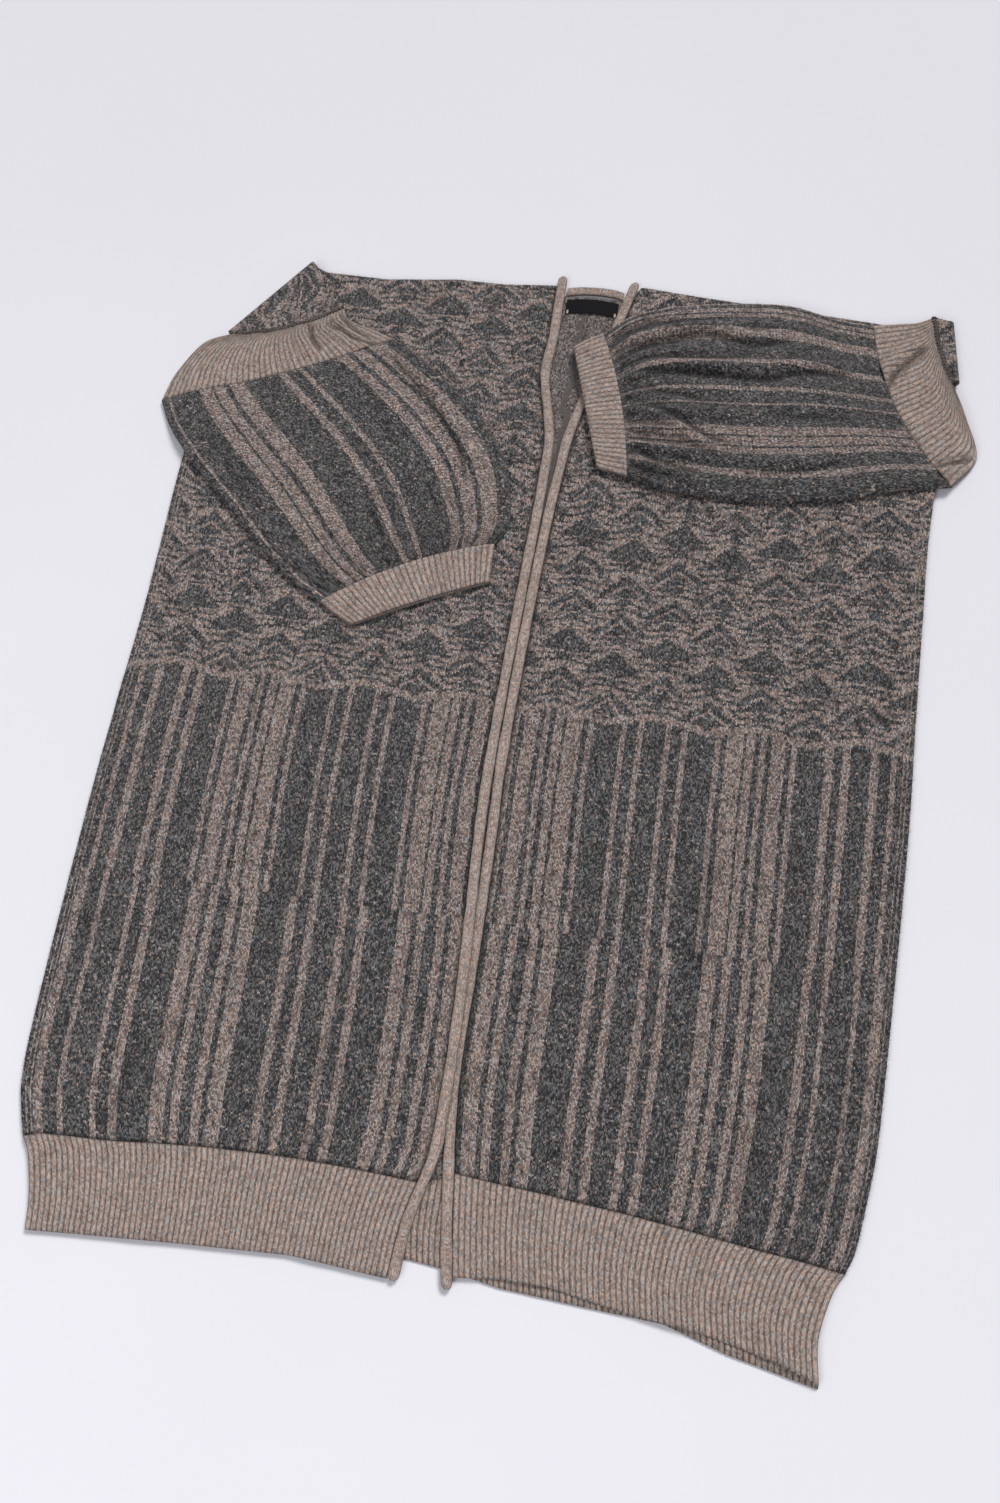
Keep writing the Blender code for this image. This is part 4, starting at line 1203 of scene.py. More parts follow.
@dataclass
class Panels:
    """The back and the two fronts, whose shoulder corners turn up and over at the sleeves."""

    side_rows: int = 210
    corner_rows: int = 34
    fold_steps: int = 12
    flap_steps: int = 26
    back_columns: int = 116
    front_columns: int = 84
    wall: float = WALL
    edge_radius: float = 1.15
    unevenness: float = 0.22
    hem_sink: float = 0.5
    band_sink: float = 0.7
    fibres: int = 16000
    edge_fibres: int = 7000

    def rows(self, hand: Hand, side_rows: int) -> tuple[np.ndarray, np.ndarray]:
        """Return a body side from hem to underarm and on along the shoulder fold.

        Args:
            hand: Which side.
            side_rows: How many steps it has up to the underarm.

        Returns:
            Its points and their shares of the way up.
        """
        lower = smooth_curve(BODY_SIDE[hand], side_rows + 1)
        upper = np.linspace(*np.array(SHOULDER_FOLD[hand]), self.corner_rows + 1)[1:]
        line = np.vstack([lower, upper])
        return line, (line[:, 1] - line[0, 1]) / (line[-1, 1] - line[0, 1])

    def add_flap(self, shell: Shell, hand: Hand, rest: float, seam: np.ndarray, edge_ids: np.ndarray,
                 thickness: float) -> None:
        """Turn a panel's corner round its fold line and lay it back to the armhole seam.

        A point at sheet distance d past the fold line goes round an arc of its skin's own
        radius, height = centre - r cos(d / r), and then back over the panel at the top height.

        Args:
            shell: The panel, which gets the new points and faces.
            hand: Which shoulder.
            rest: The panel's underside height there.
            seam: Where the flap ends, from the fold line's low end.
            edge_ids: The panel's own points along the fold line.
            thickness: The wall's thickness.
        """
        line = np.linspace(*np.array(SHOULDER_FOLD[hand]), self.corner_rows + 1)
        way = line[-1] - line[0]
        outward = np.array([-way[1], way[0]]) / np.hypot(*way)
        outward = outward if outward[0] * hand.value > 0 else -outward
        turns = np.linspace(0.0, math.pi, self.fold_steps + 1)[1:, None, None]
        shares = np.linspace(0.0, 1.0, self.flap_steps + 1)[1:, None, None]
        middle = FOLD_CENTRE - rest - thickness / 2
        skins = []
        for radius in (middle - thickness / 2, middle + thickness / 2):
            round_plan = line[None] + outward * radius * np.sin(turns) / 10
            round_high = np.broadcast_to(FOLD_CENTRE - radius * np.cos(turns), (*round_plan.shape[:2], 1))
            flat_plan = line[None] + (seam - line)[None] * shares
            swell = lumps(flat_plan[..., 0], flat_plan[..., 1], 31, self.unevenness, (3.0, 8.0))
            swell = swell * np.sin(math.pi * shares[..., 0]) if radius > middle else np.zeros_like(swell)
            flat_high = FOLD_CENTRE + radius + swell[..., None]
            steps = np.concatenate([np.concatenate([round_plan, round_high], axis=2),
                                    np.concatenate([flat_plan, flat_high], axis=2)])
            skins.append(steps.transpose(1, 0, 2).reshape(-1, 3))
        arc_chart = line[None] + outward * middle * turns / 10
        flat_chart = line[None] + outward * (middle * math.pi / 10) + outward * (
            np.linalg.norm(seam - line, axis=1)[None, :, None] * shares)
        chart = np.concatenate([arc_chart, flat_chart]).transpose(1, 0, 2)
        chart = chart - [STRIPE_MIDDLE[hand], 0.0]
        new_ids = len(shell.upper) + np.arange(len(skins[0])).reshape(len(line), -1)
        ids = np.column_stack([edge_ids, new_ids])
        chart_grid = np.concatenate([shell.chart[edge_ids][:, None], chart], axis=1)
        if hand is Hand.RIGHT:
            ids = ids[:, ::-1]
            chart_grid = chart_grid[:, ::-1]
        shell.upper = np.vstack([shell.upper, skins[0]])
        shell.lower = np.vstack([shell.lower, skins[1]])
        shell.chart = np.vstack([shell.chart, chart.reshape(-1, 2)])
        shell.faces = np.vstack([shell.faces, quads(ids)])
        shell.corners = np.concatenate([shell.corners, corner_values(chart_grid)])
        # The flaps get no painted shade and count as far from the side seam.
        for mark, far in (("side_cm", 9.0), ("groove", 0.0)):
            if mark in shell.marks:
                shell.marks[mark] = np.concatenate([shell.marks[mark], np.full(len(skins[0]), far)])

    def armhole_end(self, hand: Hand) -> np.ndarray:
        """Work out where a folded corner ends.

        Args:
            hand: Which shoulder.

        Returns:
            Points along the armhole seam, from the fold line's low end.
        """
        shares = np.linspace(0.0, 1.0, self.corner_rows + 1)
        line = seam_line(np.array(SLEEVES[hand].band_sections[0]), shares, back=SEAM_GAP)
        return line if hand is Hand.RIGHT else line[::-1]

    def back(self) -> Shell:
        """Work out the back.

        Returns:
            One panel from hem to shoulders with both its corners folded over.
        """
        side_rows = self.side_rows // 2
        right, right_shares = self.rows(Hand.RIGHT, side_rows)
        left, left_shares = self.rows(Hand.LEFT, side_rows)
        along = (right_shares + left_shares) / 2
        across = np.linspace(0.0, 1.0, self.back_columns + 1)
        top = across_line(SHOULDER_LINE, right[-1, 0], left[-1, 0], across)
        bottom = across_line(HEM_SEAM, right[0, 0], left[0, 0], across)
        plan = patch(right, left, bottom, top, across, along)
        x, y = plan[..., 0], plan[..., 1]
        from_side = np.minimum(x - x[:, :1], x[:, -1:] - x)
        free = np.ones_like(x)
        free[side_rows:] = 0.0
        low = edge_ease(from_side, self.edge_radius) * free
        neck = bell(x - 1.1, 3.0) * smooth_step(16.0, 30.0, y)
        high = self.wall + lumps(x, y, 5, 0.12, (2.0, 6.0)) * neck
        hand_middle = np.where(x < 0.2, STRIPE_MIDDLE[Hand.RIGHT], STRIPE_MIDDLE[Hand.LEFT])
        shell = Shell.over_grid(plan, low, high, np.dstack([x - hand_middle, y]))
        shell.marks["side_cm"] = from_side.ravel()
        ids = number_grid(*plan.shape[:2])
        for hand, column in ((Hand.RIGHT, 0), (Hand.LEFT, -1)):
            self.add_flap(shell, hand, 0.0, self.armhole_end(hand), ids[side_rows:, column], self.wall)
        return shell

    def front_grid(self, hand: Hand) -> tuple[np.ndarray, np.ndarray]:
        """Work out a front's plan.

        Args:
            hand: Which front.

        Returns:
            Its grid of plan points and its columns' shares from side to band.
        """
        outer, along = self.rows(hand, self.side_rows)
        offset = beside_band(hand)
        low_y = read_line(HEM_SEAM, trim_x(BAND_AT_SEAM_CM, hand) + offset)
        high_y = read_line(SHOULDER_LINE, trim_x(BAND_AT_SHOULDER_CM, hand) + offset)
        inner_y = low_y + along * (high_y - low_y)
        inner = np.column_stack([trim_x(inner_y, hand) + offset, inner_y])
        near = np.array([0.0, 0.0008, 0.0022, 0.0045])
        across = np.concatenate([near, np.linspace(0.011, 1.0, self.front_columns)])
        bottom = across_line(HEM_SEAM, outer[0, 0], inner[0, 0], across)
        top = across_line(SHOULDER_LINE, outer[-1, 0], inner[-1, 0], across)
        return patch(outer, inner, bottom, top, across, along), across

    def front(self, hand: Hand) -> Shell:
        """Work out a front.

        Args:
            hand: Which front.

        Returns:
            The panel from side to front band, its corner folded inside the back's.
        """
        plan, across = self.front_grid(hand)
        x, y = plan[..., 0], plan[..., 1]
        rest = front_rest(x, y, hand)
        bare = smooth_step(*COVERED_CM[hand], y)
        folds, _ = crease_shape(FRONT_CREASES, x, y)
        swell = (lumps(x, y, 11 + hand.value, self.unevenness, (2.5, 9.0)) + folds) * bare
        from_side = np.abs(x - x[:, :1])
        ease = edge_ease(from_side, self.edge_radius)
        ease[self.side_rows:] = 0.0
        seam_ease = self.hem_sink * bell(y - y[:1], 0.12)
        band_ease = self.band_sink * bell(x - x[:, -1:], 0.14)
        low = rest + np.clip(swell, 0.0, None) * 0.5
        high = rest + self.wall + swell - ease - np.maximum(seam_ease, band_ease)
        reference = np.argmin(np.abs(y[:, 0] + 5.0))
        drift = STRIPE_DRIFT_CM * np.sin(math.pi * across)[None] * smooth_step(-3.0, -34.0, y)
        chart_x = x[reference][None] - drift - STRIPE_MIDDLE[hand]
        upper_part = smooth_step(4.0, 14.0, y)
        chart_x = chart_x * (1 - upper_part) + (x - STRIPE_MIDDLE[hand]) * upper_part
        shell = Shell.over_grid(plan, np.minimum(low, high - 0.8), high, np.dstack([chart_x, y]))
        shell.marks["side_cm"] = from_side.ravel()
        # Painted shade: darker along the hem seam and the band's seam, and in the creases' troughs.
        seam_shade = np.maximum(seam_ease, band_ease) / self.band_sink
        shell.marks["groove"] = np.maximum(seam_shade, 0.4 * np.clip(-swell / 0.7, 0.0, 1.0)).ravel()
        ids = number_grid(*plan.shape[:2])
        self.add_flap(shell, hand, FRONT_REST, self.armhole_end(hand), ids[self.side_rows:, 0], self.wall)
        return shell

    def build(self) -> None:
        """Build the back and the fronts, dress them and put them in the frame."""
        outside = PatternedKnit("body_knit", chain=True).make()
        inside = PatternedKnit("body_knit_inside", inside=True).make()
        back = self.back().to_object("back_panel", (inside, outside))
        add_to_frame(back, ["back"])
        for hand in Hand:
            shell = self.front(hand)
            piece = shell.to_object(f"{hand.word}_front_panel", (outside, inside))
            add_to_frame(piece, [f"{hand.word}_front"])
            fibres = Nap(self.fibres, self.edge_fibres, 81 + hand.value)
            nap = fibres.build(shell, f"{hand.word}_front_nap", outside)
            add_to_frame(nap)


@dataclass
class Hems:
    """The three rib hems, the fronts' with their ribs raised and their edges bound."""

    front_ribs: dict[Hand, int] = field(default_factory=lambda: {Hand.RIGHT: 66, Hand.LEFT: 62})
    back_ribs: int = 132
    columns_per_rib: int = 7
    rows: int = 34
    rib_height: float = 0.95
    wall: float = WALL
    edge_radius: float = 1.3
    stitch_sink: float = 0.45
    stitch_at_cm: float = 0.38
    seam_sink: float = 0.8

    def edge_profile(self, from_edge_cm: np.ndarray) -> np.ndarray:
        """Return the drop at the bound edge: rounded off, with a line of stitches above it."""
        stitches = self.stitch_sink * bell(from_edge_cm - self.stitch_at_cm, 0.05)
        return edge_ease(from_edge_cm, self.edge_radius) + stitches

    def shell(self, plan: np.ndarray, ribs: int, rest: np.ndarray) -> Shell:
        """Work out a ribbed wall.

        Args:
            plan: Its grid of plan points, whose first row is the hem's seam.
            ribs: How many ribs it has.
            rest: The heights of its underside, in millimetres.

        Returns:
            The wall.
        """
        count = plan.shape[1]
        phase = np.linspace(0.0, ribs, count)[None] * np.ones((plan.shape[0], 1))
        relief = rib_round(phase)
        from_edge = np.linalg.norm(plan - plan[-1:], axis=2)
        from_seam = np.linalg.norm(plan - plan[:1], axis=2)
        uneven = lumps(plan[..., 0], plan[..., 1], 21, 0.2, (1.5, 5.0))
        seam_drop = self.seam_sink * bell(from_seam, 0.14)
        high = rest + self.wall - 0.25 + self.rib_height * relief + uneven - seam_drop
        high = high - self.edge_profile(from_edge)
        steps = np.linalg.norm(np.diff(plan, axis=0), axis=2)
        along = np.cumsum(np.vstack([np.zeros((1, count)), steps]), axis=0)
        chart = np.dstack([phase * 2 * STITCH_WIDE_CM, -along])
        low = rest + 0.5 * edge_ease(from_edge, self.edge_radius)
        shell = Shell.over_grid(plan, low, np.maximum(high, low + 0.7), chart)
        # Painted shade: darker in the rib valleys and along the hem seam.
        shell.marks["groove"] = np.maximum(rib_valley(phase), 0.7 * bell(from_seam, 0.10)).ravel()
        return shell

    def front_plan(self, hand: Hand) -> np.ndarray:
        """Work out the plan of a front hem.

        Args:
            hand: Which front.

        Returns:
            Its grid of plan points, from the side to the front band.
        """
        columns = self.front_ribs[hand] * self.columns_per_rib + 1
        across = np.linspace(0.0, 1.0, columns)
        along = np.linspace(0.0, 1.0, self.rows + 1)
        outer = smooth_curve(HEM_SIDE[hand], self.rows + 1)
        offset = beside_band(hand)
        seam_y = read_line(HEM_SEAM, trim_x(BAND_AT_SEAM_CM, hand) + offset)
        edge_y = read_line(FRONT_HEM_EDGE, trim_x(BAND_AT_EDGE_CM, hand) + offset)
        inner_y = np.linspace(seam_y, edge_y, self.rows + 1)
        inner = np.column_stack([trim_x(inner_y, hand) + offset, inner_y])
        top = across_line(HEM_SEAM, outer[0, 0], inner[0, 0], across)
        low = across_line(FRONT_HEM_EDGE, outer[-1, 0], inner[-1, 0], across)
        grid = patch(outer, inner, top, low, across, along)
        grid[0, :, 1] -= SEAM_GAP / 10
        return grid

    def back_plan(self) -> np.ndarray:
        """Work out the plan of the back hem.

        Returns:
            Its grid of plan points.
        """
        columns = self.back_ribs * 4 + 1
        across = np.linspace(0.0, 1.0, columns)
        rows = self.rows // 2 + 1
        along = np.linspace(0.0, 1.0, rows)
        right = smooth_curve(HEM_SIDE[Hand.RIGHT], rows)
        left = smooth_curve(HEM_SIDE[Hand.LEFT], rows)
        top = across_line(HEM_SEAM, right[0, 0], left[0, 0], across)
        low = across_line(BACK_HEM_EDGE, right[-1, 0], left[-1, 0], across)
        right[-1], left[-1] = low[0], low[-1]
        grid = patch(right, left, top, low, across, along)
        grid[0, :, 1] -= SEAM_GAP / 10
        return grid

    def build(self) -> None:
        """Build the hems, dress them and put them in the frame."""
        rib = PlainKnit("taupe_rib", RIB_TAUPE, STITCH_WIDE_CM, STITCH_TALL_CM).make()
        for hand in Hand:
            plan = self.front_plan(hand)
            rest = front_rest(plan[..., 0], plan[..., 1], hand)
            shell = self.shell(plan, self.front_ribs[hand], rest)
            piece = shell.to_object(f"{hand.word}_hem_rib", (rib,))
            add_to_frame(piece, [f"{hand.word}_front_hem"])
        plan = self.back_plan()
        piece = self.shell(plan, self.back_ribs, np.zeros(plan.shape[:2])).to_object("back_hem_rib", (rib,))
        add_to_frame(piece, ["back_hem"])


@dataclass
class Trims:
    """The front bands and the back neck band: knitted tubes pressed flat."""

    width: float = TRIM_WIDTH
    thick: float = TRIM_THICK
    around: int = 22
    stations: int = 420
    neck_stations: int = 44
    squareness: float = 0.72
    end_share: float = 0.35
    girth_cm: float = 2.3

    def ring_grid(self, line: np.ndarray, across: np.ndarray, rest: np.ndarray, seed: int,
                  end_share: float = 1.0) -> np.ndarray:
        """Return rings carried along a line.

        Each ring is a flattened superellipse, wide along the direction across. Its width and
        thickness vary a little along the way, and fall off like a quarter circle at both ends.

        Args:
            line: The band's middle, in centimetres.
            across: The direction of its width.
            rest: The height of its underside, in millimetres.
            seed: Which unevenness.
            end_share: The share of the width that is left at the ends.

        Returns:
            The rings, one for each point of the line.
        """
        turn = np.linspace(0.0, 2 * math.pi, self.around, endpoint=False)
        wide = blunted(np.cos(turn), self.squareness) * self.width / 20
        tall = blunted(np.sin(turn), self.squareness) * self.thick / 2
        vary = 1.0 + 0.05 * lumps(line[:, 0], line[:, 1], seed, 1.0, (1.5, 6.0))
        ends = np.minimum(np.arange(len(line)), np.arange(len(line))[::-1])
        close = quarter_round(ends / 3.0)
        narrow = end_share + (1.0 - end_share) * close
        plan = line[:, None] + across * (wide[None] * (vary * narrow)[:, None])[..., None]
        middle = rest + self.thick / 2
        high = middle[:, None] + tall[None] * ((close * 0.6 + 0.4) * (2.0 - vary))[:, None]
        return np.dstack([plan, high])

    def solid(self, name: str, rings: np.ndarray, material: bpy.types.Material) -> bpy.types.Object:
        """Make the closed band from its rings, with painted shade along both its sides.

        Args:
            name: The object's name.
            rings: The rings, in table units.
            material: Its material.

        Returns:
            The band, its ends closed by ladders of faces.
        """
        count, around = rings.shape[:2]
        ids = number_grid(count, around)
        faces = quads(np.column_stack([ids, ids[:, :1]]))
        girth = np.linspace(0.0, self.girth_cm, around + 1)
        corners = corner_values(np.dstack(np.meshgrid(girth, travelled(rings.mean(axis=1)))))
        points = to_metres(rings.reshape(-1, 3))
        step = np.arange(around // 2 - 1)
        caps = []
        for row, flip in ((ids[0], False), (ids[-1], True)):
            ladder = np.stack([row[step], row[step + 1], row[-step - 2], row[-step - 1]], axis=1)
            caps.append(ladder[:, ::-1] if flip else ladder)
        faces = np.vstack([faces, *caps])
        cap_chart = np.zeros((sum(len(cap) for cap in caps), 4, 2))
        corners = np.concatenate([corners, cap_chart])
        if signed_volume(points, faces) < 0:
            faces, corners = faces[:, ::-1], corners[:, ::-1]
        # Painted shade: the band darkens towards both its sides, by |cos|^10 round the ring.
        turn = np.linspace(0.0, 2 * math.pi, around, endpoint=False)
        sides = np.tile(np.abs(np.cos(turn)) ** 10, count)
        return make_piece(name, points, faces, corners, (material,), {"groove": sides})

    def build(self) -> None:
        """Build the three bands, dress them and put them in the frame."""
        knit = PlainKnit("taupe_trim", TRIM_TAUPE, 0.21, 0.15).make()
        y = np.linspace(TRIM_LINE[0][0], TRIM_LINE[-1][0], self.stations)
        for hand in Hand:
            x = trim_x(y, hand)
            rest = front_rest(x, y, hand)
            line = np.column_stack([x, y])
            rings = self.ring_grid(line, np.array([1.0, 0.0]), rest, 41 + hand.value, self.end_share)
            piece = self.solid(f"{hand.word}_front_trim", rings, knit)
            add_to_frame(piece, [f"{hand.word}_front_band"])
        line = smooth_curve(NECK_LINE, self.neck_stations)
        rings = self.ring_grid(line, np.array([0.0, 1.0]), np.zeros(len(line)), 47)
        piece = self.solid("neck_trim", rings, knit)
        add_to_frame(piece, ["back_neck_band"])


@dataclass
class NeckLabel:
    """The plain black tab at the back of the neck, sewn down at both ends."""

    middle: tuple[float, float] = (0.95, 40.15)
    wide_cm: float = 4.9
    deep_cm: float = 1.6
    thick: float = 0.6
    sag_cm: float = 0.25
    columns: int = 60
    rows: int = 16

    def build(self) -> None:
        """Build the tab: a sheet bowed by 1 - s^2, its middle a little off the back."""
        s = np.linspace(-1.0, 1.0, self.columns + 1)
        t = np.linspace(-0.5, 0.5, self.rows + 1)
        across, along = np.meshgrid(s, t)
        x = self.middle[0] + across * self.wide_cm / 2
        y = self.middle[1] + along * self.deep_cm + self.sag_cm * (1 - across ** 2)
        lift = 0.5 * (1 - across ** 2) * (1 - along * 1.2) + 0.08 * np.sin(across * 9.0)
        low = FRONT_REST + np.clip(lift, 0.0, None)
        chart = np.dstack([x, y])
        shell = Shell.over_grid(np.dstack([x, y]), low, low + self.thick, chart)
        piece = shell.to_object("neck_label", (WovenTape("black_tape").make(),))
        add_to_frame(piece, ["label"])


# Rows of a sleeve's sections: first edge x, y, second edge x, y and bow in centimetres, then the
# underside's height, the lower wall's arch and the air between the walls in millimetres.
SectionRow = tuple[float, float, float, float, float, float, float, float]


@dataclass(frozen=True)
class Cut:
    """The flat cut of a shaped tube of cloth: its widest width, its length and its area."""

    wide: float
    long: float
    area: float


@dataclass
class SleeveSet:
    """One sleeve with its armhole band and cuff: flattened tubes through tables of sections."""

    hand: Hand
    band_sections: tuple[SectionRow, ...]
    sleeve_sections: tuple[SectionRow, ...]
    cuff_sections: tuple[SectionRow, ...]
    stripes: StripeTable
    gathers: tuple[tuple[float, float, float, float, float], ...]
    creases: tuple[Crease, ...]
    band_creases: tuple[Crease, ...]
    band_ribs: int
    band_cut: Cut
    sleeve_cut: Cut
    cuff_cut: Cut
    cuff_ribs: int = 30
    wall: float = WALL
    edge_mm: float = 4.0
    puff_mm: float = 2.5
    # How strongly a hollow in the upper wall turns into painted shade.
    hollow_shade_gain: float = 7.0
    top_columns: int = 150
    under_columns: int = 40
    stations: int = 120
    band_stations: int = 34
    cuff_stations: int = 26
    rib_columns: int = 7
    rib_height: float = 0.85
    rib_sink: float = 0.15
    seam_share: float = 0.16
    lip_share: float = 0.38
    fibres: int = 12000
    cloth_half_cm: float = 22.5
    roll_stations: int = 260
    roll_around: int = 10
    roll_girth_mm: float = 1.75
    roll_bead_mm: float = 0.42
    roll_bead_cm: float = 0.34

    def ring(self, top_columns: int, width_mm: float) -> tuple[np.ndarray, np.ndarray]:
        """Lay out the points of a ring, closer together round both edges.

        Args:
            top_columns: Columns across the upper wall.
            width_mm: The tube's width.

        Returns:
            Each point's share across, and its side: 1 above and -1 below.
        """
        edge = (1 - np.cos(np.linspace(0.0, math.pi / 2, 6))) * self.edge_mm / width_mm
        top = np.linspace(edge[-1], 1 - edge[-1], top_columns + 1)
        under = np.linspace(edge[-1], 1 - edge[-1], self.under_columns + 1)
        above = np.concatenate([edge[:-1], top, 1 - edge[:-1][::-1]])
        below = np.concatenate([edge[1:-1], under, 1 - edge[1:-1][::-1]])[::-1]
        sides = np.concatenate([np.ones(len(above)), -np.ones(len(below))])
        return np.concatenate([above, below]), sides

    def gather_height(self, shares: np.ndarray, station: np.ndarray) -> np.ndarray:
        """Work out the lengthwise folds that run up from the cuff and fade.

        Args:
            shares: Each point's share across.
            station: Each ring's share of the way to the cuff.

        Returns:
            Their height at each point, in millimetres.
        """
        from_cuff = 1 - station
        total = np.zeros_like(shares)
        for at_cuff, at_far, reach, width, height in self.gathers:
            middle = at_cuff + (at_far - at_cuff) * from_cuff
            fade = (1 - smooth_step(0.35 * reach, reach, from_cuff)) * smooth_step(0.0, 0.05, from_cuff)
            spread = width * (0.62 + 0.5 * from_cuff)
            total = total + height * fade * bell(shares - middle, spread)
        return total

    def wall_plans(self, rows: np.ndarray, shares: np.ndarray, widths: np.ndarray) -> list[np.ndarray]:
        """Work out both skins' plans, half a seam's gap short at both ends.

        Args:
            rows: The section of each ring.
            shares: Each ring point's share across.
            widths: The sections' widths, in millimetres.

        Returns:
            The outer and the inner skin's grid of plan points.
        """
        trims = np.zeros(len(rows))
        trims[0], trims[-1] = SEAM_GAP / 2, -SEAM_GAP / 2
        outer = np.broadcast_to(shares, (len(rows), len(shares)))
        inner = self.wall / widths + shares * (1 - 2 * self.wall / widths)
        return [np.stack([seam_line(row, place, back=-trim) for row, place, trim in zip(rows, places, trims)])
                for places in (outer, inner)]

    def tube(self, sections: tuple[SectionRow, ...], stations: int, top_columns: int, ribs: int,
             creases: tuple[Crease, ...], gathered: bool, mouth: bool) -> Shell:
        """Return a flattened tube of cloth.

        The outer skin's height above is centre + (r + rise + air + folds) * round(s), and below
        centre - (r - rise) * round(s), where round(s) is 0 at the two edges.

        Args:
            sections: The table of sections.
            stations: Rings along the tube.
            top_columns: Columns across its upper wall.
            ribs: How many ribs it has, or 0.
            creases: Soft folds on its upper wall.
            gathered: Whether the cuff's gathers run up it.
            mouth: Whether its last ring is an open, rounded mouth.

        Returns:
            The tube's wall.
        """
        rows = smooth_curve(sections, stations)
        station = np.linspace(0.0, 1.0, stations)[:, None]
        widths = 10 * np.hypot(rows[:, 2] - rows[:, 0], rows[:, 3] - rows[:, 1])[:, None]
        shares, sides = self.ring(top_columns, float(widths.mean()))
        rounding = quarter_round(np.minimum(shares, 1 - shares) * widths.mean() / self.edge_mm)
        dome = np.sqrt(4 * shares * (1 - shares))
        plans = self.wall_plans(rows, shares, widths)
        x, y = plans[0][..., 0], plans[0][..., 1]
        places = np.broadcast_to(shares, x.shape)
        folds = self.gather_height(places, station) if gathered else np.zeros_like(x)
        creased, shade = crease_shape(creases, x, y)
        folds = folds + creased + lumps(x, y, 61 + self.hand.value, 0.25, (2.0, 6.0)) * dome
        rise = rows[:, 6:7] * dome + 0.3 * np.clip(folds, 0.0, 2.0)
        puff = self.puff_mm * np.sin(math.pi * station) * dome if gathered else 0.0
        open_by = (rows[:, 6:7] + rows[:, 7:8]) * dome + folds + puff - rise
        lift = rise + 0.5 * (open_by + np.sqrt(open_by ** 2 + 0.4))
        phase = np.where(sides > 0, shares, 0.0) * ribs
        relief = rib_round(phase) * (sides > 0) * rounding
        ribbing = self.rib_height * relief - self.rib_sink if ribs else 0.0
        radii = (self.wall + SEAM_GAP / 2, SEAM_GAP / 2)
        centre = rows[:, 5:6] + radii[0]
        skins = []
        for radius, plan, raised in zip(radii, plans, (ribbing, 0.0)):
            above = centre + (radius + lift) * rounding + raised
            below = centre - (radius - rise) * rounding
            height = np.where(sides > 0, above, below) - body_sink(plan[..., 0])
            skins.append(np.dstack([plan, height]))
        self.soften_ends(skins, stations, mouth)
        chart = self.chart(rows, shares, sides, ribs)
        shell = Shell.round_grid(skins[0], skins[1], chart)
        # Painted shade: darker where the upper wall bends into a hollow, along the creases' troughs, in the
        # rib valleys and over the ribbed tubes' whole underside.
        spacing = widths / top_columns
        middle = (sides > 0) & (rounding > 0.995)
        bend = np.gradient(np.gradient(lift, axis=1), axis=1) / spacing ** 2 * middle
        hollow_shade = np.clip(bend * self.hollow_shade_gain, 0.0, 0.85)
        valley_shade = np.where(sides > 0, rib_valley(phase), 0.3) if ribs else 0.0
        shell.marks["groove"] = np.maximum(np.maximum(hollow_shade, shade * (sides > 0)), valley_shade).ravel()
        return shell

    def soften_ends(self, skins: list[np.ndarray], stations: int, mouth: bool) -> None:
        """Bring the two skins together a little at both ends, more at an open mouth.

        Args:
            skins: The outer and the inner skin, which are changed in place.
            stations: How many rings they have.
            mouth: Whether the last ring is an open mouth.
        """
        step = np.arange(stations)
        last_share = 0.0 if mouth else self.seam_share
        seam = self.seam_share * bell(step, 1.2) + last_share * bell(step[::-1], 1.2)
        lip = self.lip_share * bell(step[::-1], 1.1) if mouth else 0.0
        share = (seam + lip)[:, None, None] * np.array([0.0, 0.0, 1.0])
        outer, inner = skins[0].copy(), skins[1].copy()
        skins[0] = outer + (inner - outer) * share
        skins[1] = inner + (outer - inner) * share * 0.6

    def chart(self, rows: np.ndarray, shares: np.ndarray, sides: np.ndarray, ribs: int) -> np.ndarray:
        """Work out the cloth coordinates all round a tube.

        Args:
            rows: The section of each ring.
            shares: Each ring point's share across.
            sides: Its side, 1 above and -1 below.
            ribs: How many ribs the upper wall has, or 0.

        Returns:
            The coordinates, with one column more than the rings.
        """
        across = np.where(sides > 0, shares, 2.0 - shares)
        across = np.concatenate([across, [2.0]])
        scale = ribs * 2 * STITCH_WIDE_CM if ribs else self.cloth_half_cm
        middles = (rows[:, :2] + rows[:, 2:4]) / 2
        return np.dstack(np.meshgrid(across * scale, -travelled(middles)))

    def build(self, rib: bpy.types.Material) -> None:
        """Build band, sleeve, cuff and the rolled armhole seam, and put them in the frame.

        Args:
            rib: The ribs' material, which both sides share.
        """
        word = self.hand.word
        knit = PatternedKnit(f"{word}_sleeve_knit", stripes=self.stripes).make()
        band = self.tube(self.band_sections, self.band_stations, self.band_ribs * self.rib_columns,
                         self.band_ribs, self.band_creases, gathered=False, mouth=False)
        sleeve = self.tube(self.sleeve_sections, self.stations, self.top_columns,
                           0, self.creases, gathered=True, mouth=False)
        cuff = self.tube(self.cuff_sections, self.cuff_stations, self.cuff_ribs * self.rib_columns,
                         self.cuff_ribs, (), gathered=False, mouth=True)
        for shell, name, material, slot, node, cut in (
                (band, "armhole_rib", rib, Slot.RIB, "armhole_band", self.band_cut),
                (sleeve, "sleeve_cloth", knit, Slot.PATTERNED, "sleeve", self.sleeve_cut),
                (cuff, "cuff_rib", rib, Slot.RIB, "cuff", self.cuff_cut)):
            piece = shell.to_object(f"{word}_{name}", (material,))
            add_to_frame(piece, [f"{word}_{node}"])
            extras = [self.rolled_seam()] if node == "armhole_band" else []
            if node == "sleeve":
                fibres = Nap(self.fibres, 0, 91 + self.hand.value)
                extras = [fibres.build(shell, f"{word}_sleeve_nap", knit)]
                add_to_frame(extras[0])

